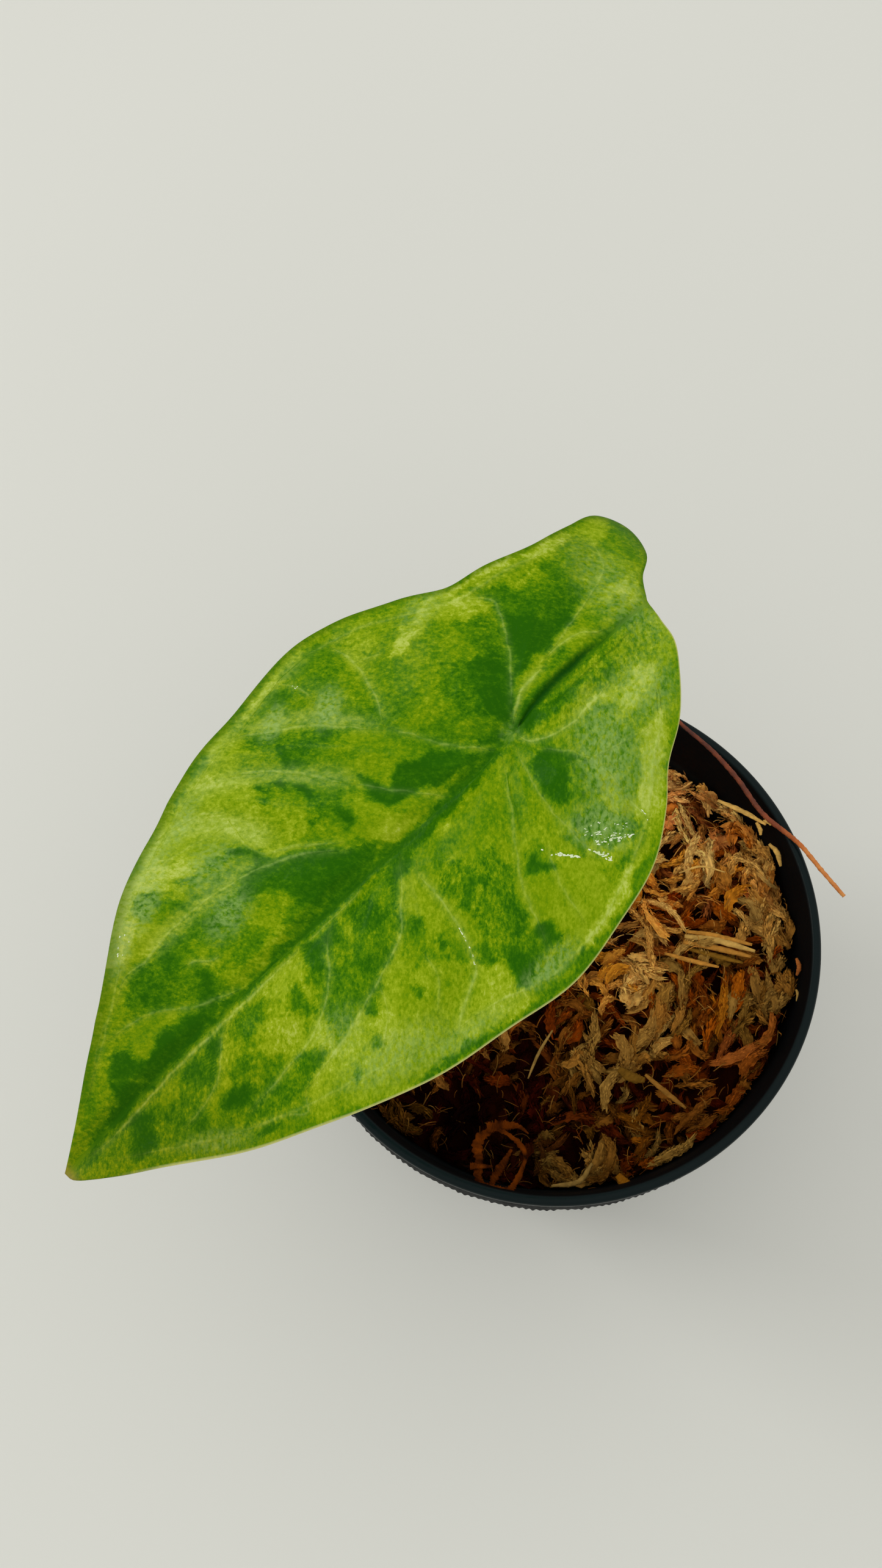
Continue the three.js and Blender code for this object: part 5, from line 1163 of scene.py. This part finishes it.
def drill(piece, holes, low, high):
    """Cuts round holes straight down: each has its distance out, its bearing in degrees and its radius."""
    sides = 48
    turn = turns(sides)
    points, faces = [], []
    for out, bearing, radius in holes:
        start = len(points)
        x = out * math.cos(math.radians(bearing)) + radius * np.cos(turn)
        y = out * math.sin(math.radians(bearing)) + radius * np.sin(turn)
        for z in (low, high):
            points += list(zip(x * MM, y * MM, np.full(sides, z * MM)))
        faces += grid_faces(2, sides, start)
        faces.append(tuple(range(start + sides - 1, start - 1, -1)))
        faces.append(tuple(range(start + sides, start + 2 * sides)))
    mesh = bpy.data.meshes.new("drain_holes")
    mesh.from_pydata([tuple(map(float, p)) for p in points], [], faces)
    cutter = bpy.data.objects.new("drain_holes", mesh)
    link(cutter)
    cut = piece.modifiers.new("drain_holes", "BOOLEAN")
    cut.object, cut.operation, cut.solver = cutter, "DIFFERENCE", "MANIFOLD"
    piece.data = bpy.data.meshes.new_from_object(piece.evaluated_get(bpy.context.evaluated_depsgraph_get()))
    piece.modifiers.clear()
    bpy.data.objects.remove(cutter)


def pot_material():
    material, tree = new_tree("pot_plastic")
    wear = noise(tree, place(tree), 140, 4, 0.6)
    colour = ramp(tree, wear, [(0.3, (6, 9, 10)), (0.6, (9, 13, 14)), (0.8, (20, 25, 27))])
    parts = add(tree, "ShaderNodeSeparateXYZ", {"Vector": place(tree)}).outputs
    flat = add(tree, "ShaderNodeCombineXYZ", {"X": parts["X"], "Y": parts["Y"]}).outputs[0]
    out = add(tree, "ShaderNodeVectorMath", {0: flat}, operation="LENGTH").outputs["Value"]
    beyond_wall = spread(tree, out, 38.3 * MM, 38.6 * MM)
    within_wall = math_node(tree, "SUBTRACT", 1.0, beyond_wall)
    # The lip's top is painted a lighter teal: painted sheen of the light on it.
    lip = times(tree, beyond_wall, spread(tree, parts["Z"], 68.0 * MM, 68.6 * MM))
    # The inside wall below the lip is painted nearly black: painted shade.
    inside = times(tree, within_wall, spread(tree, parts["Z"], 59.5 * MM, 60.5 * MM))
    colour = glaze(tree, colour, [(lip, (8, 21, 22)), (inside, (1, 1, 2))])
    grain = spread(tree, noise(tree, place(tree), 320, 3), 0.3, 0.7, -0.07, 0.08)
    rough = math_node(tree, "ADD", grain, spread(tree, lip, 0, 1, 0.7, 0.34))
    normal = bump(tree, noise(tree, place(tree), 1400, 2), 0.15, 0.0002)
    surface(tree, Base_Color=colour, Roughness=rough, Normal=normal, Specular_IOR_Level=0.1)
    return material


# Moss: dry long-fibre sphagnum, tufts of frayed branches over a dark tangle

# Radius and height of the pot's inner wall at its top and foot, and the moss's mean level
WALL_TOP, WALL_FOOT = (38.3, 69.6), (27.2, 3.0)
MOSS_LEVEL = 61
# Humps and hollows of the moss: place, height and reach
MOSS_MOUNDS = [(31, -3, 3.6, 20), (24, 28, -5, 13), (-15, -29, -8, 10)]
STRAW, TAN, PINK, GOLD = (202, 158, 82), (192, 132, 54), (188, 108, 50), (196, 124, 28)
ORANGE, RUST, BROWN, OLIVE = (176, 86, 6), (118, 40, 0), (70, 20, 0), (140, 98, 30)
# Tufts seen in front of the leaf: place, lift, heading and fan in degrees, branches, length, colours
TUFTS = [
    (20, 26.5, 2.4, 10, 50, 12, 6, (TAN, STRAW, PINK)), (26.6, 25, 4.2, 120, 40, 11, 6, (TAN, STRAW, PINK)),
    (31, 20, 3.8, 110, 40, 10, 6, (TAN, STRAW, ORANGE)), (33.6, 14, 1.8, 100, 30, 8, 6.5, (TAN, STRAW)),
    (19, 21, 0.4, 60, 70, 9, 5, (PINK, PINK, ORANGE)), (23.4, 16, 1.3, 95, 16, 5, 10, (STRAW, STRAW)),
    (26, 17.5, 0.4, 80, 50, 8, 6, (PINK, RUST, TAN)), (15.5, 15, 0.9, 40, 24, 6, 7, (STRAW, GOLD)),
    (19, 12.5, 0.8, 55, 22, 6, 8, (GOLD, STRAW)), (14, 10, 0.5, 20, 50, 8, 6, (GOLD, ORANGE, TAN)),
    (31, 13, 0.9, 80, 24, 8, 8, (STRAW, TAN, TAN)), (34.2, 8, 0.6, 100, 20, 7, 8, (TAN, ORANGE, STRAW)),
    (32, 3, 1.2, 95, 34, 9, 8, (STRAW, STRAW, TAN)), (27, 9, 0.7, 80, 24, 8, 8, (ORANGE, TAN, GOLD)),
    (21, 5, -0.4, 70, 60, 7, 6, (RUST, ORANGE, RUST)), (17, 3.4, 1.5, -42, 14, 6, 11, (TAN, STRAW, GOLD)),
    (27, -3.6, 0.7, 8, 30, 6, 7, (RUST, GOLD, TAN)), (14, -5, 1.5, 60, 60, 14, 6.5, (STRAW, TAN, STRAW)),
    (8.6, -5.4, 0.9, 100, 60, 10, 6, (TAN, GOLD, GOLD)), (33.4, -7, 0.9, 80, 26, 8, 7, (STRAW, TAN, TAN)),
    (26, -9.4, 0.9, 84, 18, 8, 9, (ORANGE, ORANGE, GOLD)),
    (22, -9.6, 0.3, 80, 24, 7, 8, (RUST, ORANGE, OLIVE)), (17, -8.6, 0.5, 86, 24, 7, 8, (OLIVE, STRAW, TAN)),
    (15.4, -12, 1.2, 62, 16, 4, 8, (STRAW, TAN)), (6.4, -17, 1.7, 100, 40, 12, 8, (STRAW, STRAW, TAN)),
    (12, -17.4, 1.5, 30, 46, 8, 7, (STRAW, GOLD)), (18.8, -18.6, 0.5, 20, 60, 8, 6.5, (ORANGE, TAN, TAN)),
    (28.6, -16.6, 0.8, 64, 30, 8, 8, (TAN, PINK, ORANGE)),
    (29.6, -11.6, 0.9, 70, 44, 8, 7, (TAN, OLIVE, STRAW)), (1, -20.4, 0.2, 72, 30, 7, 8, (OLIVE, TAN, RUST)),
    (-7, -15.6, 0.3, 20, 60, 7, 6, (OLIVE, RUST, TAN)),
    (2.4, -11.6, 0.8, 30, 50, 7, 6.5, (ORANGE, RUST, TAN)),
    (-11.4, -18.4, -0.3, 110, 50, 8, 7, (RUST, ORANGE, RUST)),
    (-2, -25, -0.8, 40, 60, 8, 6, (RUST, RUST, BROWN)), (7.2, -31.6, 0.9, 72, 30, 7, 9, (STRAW, TAN, STRAW)),
    (2, -33.4, 0.3, -30, 34, 6, 7, (TAN, STRAW)), (11.8, -33.4, 0.2, 80, 40, 6, 5, (ORANGE, GOLD)),
    (17.2, -31.4, 1.3, 52, 8, 2, 6.5, (STRAW, STRAW)), (22.6, -26.6, 0.5, 30, 26, 8, 8, (ORANGE, RUST, TAN)),
    (6.4, -25.4, 0.1, 20, 60, 8, 6, (OLIVE, RUST, TAN)),
    (-0.8, -30.4, 0.3, 60, 50, 7, 5.5, (OLIVE, STRAW, RUST)),
    (31.4, -20.4, 0.3, 50, 30, 5, 6, (ORANGE, TAN)), (12.4, -26.4, 0.4, 10, 50, 7, 6, (RUST, GOLD, OLIVE)),
    (22, -2, 0.5, 30, 40, 6, 7, (OLIVE, STRAW)), (-23.4, -25.2, 0.2, -46, 18, 5, 7, (OLIVE, OLIVE, TAN)),
    (34.6, -1, 0.2, 96, 26, 6, 7, (TAN, STRAW)),
]
# Tangle colours by place: centre, reach, colours. The browns at the front and front left, under the
# leaf, are partly painted shade.
TANGLE = [
    (22, 16, 16, (PINK, RUST, ORANGE)), (18, -2, 14, (TAN, RUST, ORANGE)),
    (24, -16, 14, (RUST, ORANGE, BROWN)),
    (6, -30, 10, (BROWN, RUST, OLIVE)), (-12, -22, 14, (BROWN, BROWN, RUST)),
    (-14, 8, 24, (TAN, RUST, ORANGE)),
]


def room_radius(z):
    """The pot's inner radius at a height."""
    return WALL_FOOT[0] + (WALL_TOP[0] - WALL_FOOT[0]) * (z - WALL_FOOT[1]) / (WALL_TOP[1] - WALL_FOOT[1])


def moss_top(x, y):
    """The moss's level, as in the solid moss."""
    level = MOSS_LEVEL + 1.1 * np.sin(0.31 * x + 1.2) * np.cos(0.27 * y) + 0.7 * np.sin(0.6 * x - 0.5 * y)
    level = level - 1.2 * smoothstep(np.hypot(x, y), 30, 37.5)
    for cx, cy, height, reach in MOSS_MOUNDS:
        level = level + height * np.exp(-((x - cx) ** 2 + (y - cy) ** 2) / reach ** 2)
    return level


# Spots of painted light and shade on the moss, paler above zero and darker below: place, squared reach
# and change
PAINTED_LIGHT_SPOTS = [
    (11, -1, 100, 0.46), (20, 23, 50, 0.36), (25, -11, 30, 0.16), (31, -4, 40, -0.24),
    (1.5, -10.5, 24, -0.22),
]


def spot_share(x, y, cx, cy, squared_reach):
    return math.exp(-((x - cx) ** 2 + (y - cy) ** 2) / squared_reach)


def moss_painted_light(x, y):
    """Painted light and shade on the moss: darkest at the front left under the leaf, paler towards the back.
    """
    painted_light = 0.5 + 0.6 * smoothstep(y, -30, 22)
    for *spot, change in PAINTED_LIGHT_SPOTS:
        painted_light += change * spot_share(x, y, *spot)
    return painted_light * (1 - 0.5 * spot_share(x, y, -8, -26, 160))


def pick_tint(colours, x, y):
    """A mix of the place's colours, made darker or paler by the painted light and shade of its place."""
    parts = rng.dirichlet([0.8] * len(colours))
    tint = sum(part * np.array(linear(*colour)) for part, colour in zip(parts, colours))
    # The place's painted light and shade darkens or pales the tint and shifts its hue
    painted_light = moss_painted_light(x, y)
    return np.clip(1.12 * tint ** (1.35 - 0.35 * painted_light) * painted_light * rng.uniform(0.8, 1.2), 0, 1)


def tangle_colours(x, y):
    """The colours of one of the tangle's places, most likely of a near one."""
    weights = np.array([spot_share(x, y, zx, zy, reach ** 2) for zx, zy, reach, _ in TANGLE])
    return TANGLE[rng.choice(len(TANGLE), p=weights / weights.sum())][3]


def strand_route(x, y, lift, heading, length, width, bend):
    """Five places along a strand that lies on the moss and stays inside the pot."""
    curl = rng.uniform(-bend, bend)
    arch = rng.uniform(0.2, 1.6)
    tip_rise = rng.uniform(-1.2, 1.4)
    sunk, gap, highest = 0.6, 0.4, 68
    route = []
    for share in np.linspace(0, 1, 5):
        turn = heading + curl * (share - 0.5)
        px = x + length * (share - 0.5) * math.cos(turn)
        py = y + length * (share - 0.5) * math.sin(turn)
        rise = arch * math.sin(math.pi * share) + tip_rise * (share - 0.5) + rng.uniform(-0.2, 0.2)
        pz = float(moss_top(px, py)) + lift + rise - sunk
        limit = room_radius(min(pz, highest)) - gap - 0.5 * width
        shrink = min(1, limit / max(math.hypot(px, py), 1e-6))
        route.append((px * shrink, py * shrink, pz))
    return route


def moss_branch(bundle, x, y, lift, heading, length, width, tint):
    """One branch of the moss: a thin stem, tapered, all covered with small pointed leaves."""
    route = strand_route(x, y, lift, heading, length, width, 1.2)
    radii = 0.4 * width * np.array([0.5, 0.8, 1.0, 0.95, 0.8, 0.5, 0.15])
    points, faces = limb(route, radii, 5, 9, flat=0.7, ragged=0.25)
    shade = 0.55 + 0.3 * rng.random(len(points))
    bundle.put(points, faces, tint[None, :] * shade[:, None])
    branch_leaves(bundle, curve(route, 40), width, tint, int(11 * length))


def moss_shred(bundle, x, y, lift, heading, length, width, tint):
    """A flat torn shred of moss: streaked along its length, ragged at its sides, split at its ends."""
    rows, columns = 12, 7
    route = strand_route(x, y, lift, heading, length, 2 * width, 1.0)
    centre = curve(route, rows)
    along = unit(np.gradient(centre, axis=0))
    level = unit(np.cross(along, (0, 0, 1.0)))
    share = np.linspace(0, 1, rows)
    roll = (rng.uniform(-0.8, 0.8) + rng.uniform(-0.7, 0.7) * (2 * share - 1))[:, None]
    side = level * np.cos(roll) + np.cross(level, along) * np.sin(roll)
    upward = np.cross(side, along)
    reach = width * (0.2 + 0.8 * np.sin(math.pi * (0.06 + 0.88 * share)) ** 0.7)[:, None]
    reach = reach * (1 + 0.35 * rng.uniform(-1, 1, (rows, 2)))
    c = np.linspace(-1, 1, columns)[None, :]
    across = np.where(c < 0, reach[:, :1], reach[:, 1:]) * c
    ridge = 0.14 * rng.uniform(-1, 1, columns)[None, :] + 0.06 * rng.uniform(-1, 1, (rows, columns))
    ridge = ridge + width * rng.uniform(-0.5, 0.35) * c ** 2
    slide = rng.uniform(-0.6, 1.2, columns)[None, :] * (share ** 4)[:, None]
    slide = slide - rng.uniform(-0.4, 0.8, columns)[None, :] * ((1 - share) ** 4)[:, None]
    points = (centre[:, None] + side[:, None] * across[..., None] + upward[:, None] * ridge[..., None]
              + along[:, None] * slide[..., None]).reshape(-1, 3)
    shade = rng.uniform(0.7, 1.1, columns)[None, :] * rng.uniform(0.85, 1.1, (rows, columns))
    bundle.put(points, grid_faces(rows, columns, closed=False), tint[None, :] * shade.reshape(-1, 1))
    branch_leaves(bundle, curve(route, 40), 2 * width, tint, int(17 * length), 0.62)


def branch_leaves(bundle, centre, width, tint, number, size=1.0):
    """Pointed leaves round a branch, lying along it with their tips a little away from it."""
    last = len(centre) - 3
    at = np.minimum((last * rng.random(number) ** 0.85).astype(int) + 1, last)
    along = centre[at + 2] - centre[at]
    along /= np.linalg.norm(along, axis=1, keepdims=True)
    side = unit(np.cross(along, (0, 0, 1.0)))
    up = np.cross(side, along)
    turn = rng.uniform(-0.6, math.pi + 0.6, number)
    out = side * np.cos(turn)[:, None] + up * np.sin(turn)[:, None] * 0.8
    taper = np.sin(math.pi * np.clip(at / len(centre), 0.1, 0.93) ** 0.8)[:, None]
    root = centre[at] + out * width * taper * 0.33
    reach = size * rng.uniform(0.7, 1.5, number)[:, None] * (0.6 + 0.4 * taper)
    tip = root + along * reach + out * reach * rng.uniform(0.05, 0.65, number)[:, None]
    flank = np.cross(out, along) * reach * rng.uniform(0.12, 0.27, number)[:, None]
    middle = root * 0.6 + tip * 0.4 + out * 0.14
    points = np.stack([root, middle + flank, tip, middle - flank], axis=1).reshape(-1, 3)
    faces = [(4 * i, 4 * i + 1, 4 * i + 2, 4 * i + 3) for i in range(number)]
    shade = np.stack([rng.uniform(0.5, 0.8, number), rng.uniform(0.8, 1.15, number),
                      rng.uniform(1.05, 1.6, number), rng.uniform(0.8, 1.15, number)], axis=1).ravel()
    bundle.put(points, faces, np.clip(tint[None, :] * shade[:, None], 0, 1))


def moss_hair(bundle, x, y, lift, tint):
    """A thin loose fibre that stands off the moss."""
    heading = rng.uniform(0, 2 * math.pi)
    length = rng.uniform(1.2, 3.6)
    steps = 5
    turn = heading + np.linspace(0, rng.uniform(-1.5, 1.5), steps)
    px = x + np.cumsum(np.cos(turn)) * length / steps
    py = y + np.cumsum(np.sin(turn)) * length / steps
    shrink = np.minimum(1, (room_radius(62) - 0.3) / np.hypot(px, py))
    px, py = px * shrink, py * shrink
    pz = moss_top(px, py) + lift + np.sin(np.linspace(0, 3, steps)) * rng.uniform(0.2, 1.4)
    width = rng.uniform(0.035, 0.08)
    across = np.stack([-np.sin(turn), np.cos(turn), np.full(steps, rng.uniform(-0.5, 0.5))], axis=1) * width
    line = np.stack([px, py, pz], axis=1)
    points = np.stack([line + across, line - across], axis=1).reshape(-1, 3)
    faces = [(2 * i, 2 * i + 1, 2 * i + 3, 2 * i + 2) for i in range(steps - 1)]
    bundle.put(points, faces, tint)


def moss_material():
    material, tree = new_tree("moss_dry")
    tint = attribute(tree, "tint", "Vector")
    shade = spread(tree, noise(tree, place(tree), 900, 4, 0.6), 0.3, 0.7, 0.75, 1.2)
    colour = mix(tree, 1.0, tint, shade, "MULTIPLY")
    normal = bump(tree, noise(tree, place(tree), 2200, 3), 0.5, 0.0003)
    surface(tree, Base_Color=colour, Roughness=0.9, Normal=normal, Specular_IOR_Level=0.03)
    return material


def make_moss_bed(material):
    """The packed moss under the loose branches, down to the pot's floor: dark brown, painted nearly black as
    the shade between the strands.
    """
    rings, segments, buried, foot = 60, 150, 4.2, 3.6
    rim = room_radius(54) - 0.5
    angle = turns(segments)
    points = [(0.0, 0.0, float(moss_top(0.0, 0.0)) - buried)]
    for ring in range(1, rings + 1):
        x, y = rim * ring / rings * np.cos(angle), rim * ring / rings * np.sin(angle)
        z = moss_top(x, y) - buried + 1.4 * value_noise(x / 2.6, y / 2.6, 11)
        z = z + 0.6 * value_noise(x / 0.9, y / 0.9, 12)
        points += list(zip(x, y, z))
    for radius, z in ((room_radius(30) - 0.5, 30), (WALL_FOOT[0] - 0.6, foot)):
        points += list(zip(radius * np.cos(angle), radius * np.sin(angle), np.full(segments, float(z))))
    points.append((0, 0, foot))
    faces = [(0, 1 + k, 1 + (k + 1) % segments) for k in range(segments)]
    faces += [f[::-1] for f in grid_faces(rings + 2, segments, 1)]
    last = 1 + (rings + 1) * segments
    faces += [(len(points) - 1, last + (k + 1) % segments, last + k) for k in range(segments)]
    # Near-black brown: the moss's dark brown with painted shade of the depths
    tint = np.tile(np.array(linear(44, 11, 1)), (len(points), 1))
    make_piece("moss_bed", points, faces, material, ["moss"], {"tint": tint})


def scatter(count, reach, first_turn=0.0):
    """Places spread evenly over a disc."""
    golden = math.pi * (3 - math.sqrt(5))
    for i in range(count):
        radius = reach * math.sqrt((i + 0.5) / count)
        turn = i * golden + first_turn + rng.uniform(-0.3, 0.3)
        yield radius * math.cos(turn), radius * math.sin(turn)


def make_tufts(name, tufts, material):
    """Tufts of strands in the form of TUFTS, as one piece."""
    bundle = Bundle()
    for x, y, lift, heading, fan, count, length, colours in tufts:
        for _ in range(count + 2):
            away = rng.normal(0, 1.9, 2)
            heading_now = math.radians(heading + (fan + 16) * rng.uniform(-1, 1))
            strand, width = (moss_shred, 0.66) if rng.random() < 0.85 else (moss_branch, 0.8)
            strand(bundle, x + away[0], y + away[1], lift + rng.uniform(-1.1, 0.5), heading_now,
                   length * rng.uniform(0.35, 0.95), width * rng.uniform(0.6, 1.6), pick_tint(colours, x, y))
    bundle.make(name, material, ["moss"])


def make_moss():
    material = moss_material()
    make_moss_bed(material)
    tangle = Bundle()
    for x, y in scatter(640, 37):
        tint = pick_tint(tangle_colours(x, y), x, y)
        strand, width = (moss_shred, 0.6) if rng.random() < 0.7 else (moss_branch, 0.9)
        strand(tangle, x, y, rng.uniform(-2.6, -0.4), rng.uniform(0, 6.3), rng.uniform(3.5, 7),
               width * rng.uniform(0.8, 1.5), tint * rng.uniform(0.7, 1.0))
    tangle.make("moss_tangle", material, ["moss"])
    hidden = [(x, y, 0.5, rng.uniform(0, 180), 50, 8, 6.5, (TAN, GOLD, ORANGE, STRAW))
              for x, y in scatter(70, 35, 1.0) if y > 1.4 * x + 4 or (x < -6 and y > -16)]
    make_tufts("moss_tufts", TUFTS, material)
    make_tufts("moss_tufts_under_leaf", hidden, material)
    fuzz = Bundle()
    for x, y in scatter(900, 37, 2.0):
        tint = pick_tint((STRAW, TAN, TAN, ORANGE), x, y) * rng.uniform(0.4, 0.9)
        moss_hair(fuzz, x, y, rng.uniform(-0.6, 1.6), np.clip(tint, 0, 0.6))
    fuzz.make("moss_fuzz", material, ["moss"])
    make_moss_bits(material)


# Flat stems: route, half width, flatness, colour
STEMS = [
    ([(20.3, 1.2, 66), (24, 0.4, 66.8), (30, -1, 66.6)], 0.42, 0.6, TAN),
    ([(20, 0.4, 66.2), (24.4, -0.4, 67), (30.4, -2, 66.6)], 0.5, 0.5, STRAW),
    ([(19.8, -0.4, 65.8), (24, -1.4, 66.6), (29.8, -2.8, 66.4)], 0.46, 0.6, TAN),
    ([(20.2, -1.2, 65.4), (24, -2.4, 66), (28.6, -3.6, 65.8)], 0.4, 0.6, OLIVE),
    ([(17, -2, 65.2), (20.6, -3.2, 65.8), (25, -4.2, 65.6)], 0.36, 0.6, TAN),
    ([(26.2, 22.2, 65.4), (29.5, 19.9, 67.2), (32.6, 17, 69.6)], 0.4, 0.7, STRAW),
    ([(32.4, 17.6, 69.2), (33, 17.4, 69.8), (33.4, 16.9, 69.6)], 0.4, 0.8, STRAW),
    ([(31.4, 17.6, 68.6), (31.8, 16.4, 69), (31.9, 15.6, 68.6)], 0.34, 0.8, STRAW),
    ([(-0.1, -13.6, 64.6), (-2.2, -17, 64.6), (-3.8, -20.6, 63.4)], 0.22, 0.7, STRAW),
    ([(19.7, 10.6, 65.2), (23, 11.4, 66), (26.7, 10.6, 65.6)], 0.18, 0.8, STRAW),
    ([(13.5, -20.2, 64.4), (16, -22.4, 64.4), (19.4, -25, 63.6)], 0.4, 0.5, TAN),
    ([(9.6, -19.4, 64.6), (11.4, -20.6, 64.8), (13.4, -21, 64.4)], 0.8, 0.35, OLIVE),
    ([(9.1, -34.6, 62.6), (10.4, -36, 62.8), (12.2, -36.4, 62.4)], 0.8, 0.4, GOLD),
    ([(5.4, -33, 63.2), (3.4, -35.6, 63.2), (-0.6, -36.2, 62.6)], 0.4, 0.6, STRAW),
    ([(36.6, -3, 66.2), (36.9, -4.4, 66.4), (36.5, -5.6, 66)], 0.36, 0.5, PINK),
    ([(36.4, -7.6, 65.4), (36.6, -8.4, 65.6), (36.4, -9.4, 65.4)], 0.26, 0.6, STRAW),
    ([(33.4, 14.6, 67.2), (34.4, 13.2, 67.6), (35, 11.2, 66.8)], 0.4, 0.6, STRAW),
]
# Strips of the curled brown leaf base and its bark: route, half widths
CURLS = [
    ([(-8.9, -28.2, 65.4), (-10.9, -30.2, 66.2), (-11.5, -33.4, 66.6), (-10.9, -35.4, 66.8),
        (-10.4, -37.0, 66.6)],
     [0.3, 0.62, 0.8, 0.5, 0.62, 0.3]),
    ([(-8.8, -28.3, 65.6), (-6.6, -29.2, 66.4), (-4.8, -31.3, 66.6), (-4.2, -33, 66.4), (-5.0, -35.4, 66.6),
        (-6.8, -37, 66.6)],
     [0.5, 0.26, 0.42, 0.24, 0.46, 0.3]),
    ([(-5.8, -36.6, 66.8), (-7.4, -37.5, 67), (-9.2, -37.4, 67), (-10.7, -36.3, 66.6)],
        [0.3, 0.6, 0.5, 0.2]),
    ([(-6.6, -31, 65.2), (-7.8, -33.4, 65.8), (-8.8, -35.4, 65.8), (-9.8, -36.8, 65.6)],
        [0.2, 0.5, 0.6, 0.2]),
    ([(-9.6, -28.4, 65.6), (-7.6, -27.6, 66.2), (-5.4, -28.1, 65.8), (-3.9, -29.2, 65)],
        [0.7, 0.9, 0.4, 0.1]),
    ([(-12.5, -34, 66.8), (-11.2, -34.5, 67), (-9.6, -34.1, 66.6)], [0.5, 0.4, 0.15]),
]


def make_moss_bits(material):
    """Single things that stand out: flat stems, bark, a curled brown leaf base and pale threads."""
    bits = Bundle()
    for route, width, flat, colour in STEMS:
        widths = [width * 0.6, width, width, width * 0.5]
        points, faces = limb(route, widths, 8, 18, flat=flat, ragged=0.16, twist=0.5)
        shade = 0.8 + 0.35 * rng.random(len(points))
        # The stems take the painted light and shade of their place
        painted_light = moss_painted_light(route[1][0], route[1][1])
        bits.put(points, faces, painted_light * np.array(linear(*colour))[None, :] * shade[:, None])
    for route, widths in CURLS:
        route = [tuple(np.array(spot) + rng.normal(0, 0.28, 3)) for spot in route]
        points, faces = limb(route, widths, 8, 44, flat=0.16, ragged=0.35, twist=3.4)
        shade = 0.4 + 0.5 * value_noise(points[:, 0] / 0.9, points[:, 1] / 0.9, 21)
        shade = shade + 0.3 * rng.random(len(points))
        bits.put(points, faces, np.array(linear(104, 46, 2))[None, :] * np.maximum(shade, 0.06)[:, None])
    bits.make("moss_bits", material, ["moss"])


# Corm: hidden in the moss, so the solid stays and gets a skin

def dress_corm():
    material, tree = new_tree("corm_skin")
    colour = ramp(tree, noise(tree, place(tree), 600, 4), [(0.3, (70, 44, 24)), (0.7, (128, 92, 56))])
    normal = bump(tree, noise(tree, place(tree), 1200, 3), 0.5, 0.0004)
    surface(tree, Base_Color=colour, Roughness=0.9, Normal=normal)
    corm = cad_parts["corm"]
    corm.data.materials.clear()
    corm.data.materials.append(material)


# Fibre

def make_fibre():
    """The dried-out fibre on the rim, whose middle is at the height rest there, painted darker towards its
    upper end as shade and paler towards its lower end as highlight.
    """
    material, tree = new_tree("fibre_dry")
    pale = times(tree, attribute(tree, "fibre_painted_light"), 0.5)
    shade = math_node(tree, "ADD", times(tree, noise(tree, place(tree), 500, 4), 0.6), pale)
    stops = [(0.15, (60, 20, 8)), (0.4, (128, 56, 18)), (0.65, (186, 96, 30)), (0.85, (214, 142, 70))]
    normal = bump(tree, noise(tree, place(tree), 2500, 3), 0.6, 0.0003)
    surface(tree, Base_Color=ramp(tree, shade, stops), Roughness=0.75, Normal=normal)
    rest = 70.72
    route = [(17.4, 36.4, rest + 0.5), (20.3, 32.9, rest), (24.6, 28.6, rest + 0.3), (28.3, 23.9, rest + 0.5),
             (32, 18.2, rest + 0.3), (37.2, 13.6, rest), (40.3, 9.4, rest + 0.1), (43.55, 5.5, rest - 0.5)]
    radii = [0.22, 0.3, 0.36, 0.38, 0.38, 0.37, 0.34, 0.3]
    points, faces = limb(route, radii, 10, 160, ragged=0.14, twist=9)
    # Painted light along the fibre: paler towards its lower end, darker towards its upper end in shade
    fibre_painted_light = smoothstep(points[:, 0], 30, 42)
    make_piece("fibre_fine", points, faces, material, ["fibre"], {"fibre_painted_light": fibre_painted_light})


set_camera()
set_light()
make_floor()
make_leaf()
make_drops()
make_petiole()
make_pot()
make_moss()
dress_corm()
make_fibre()
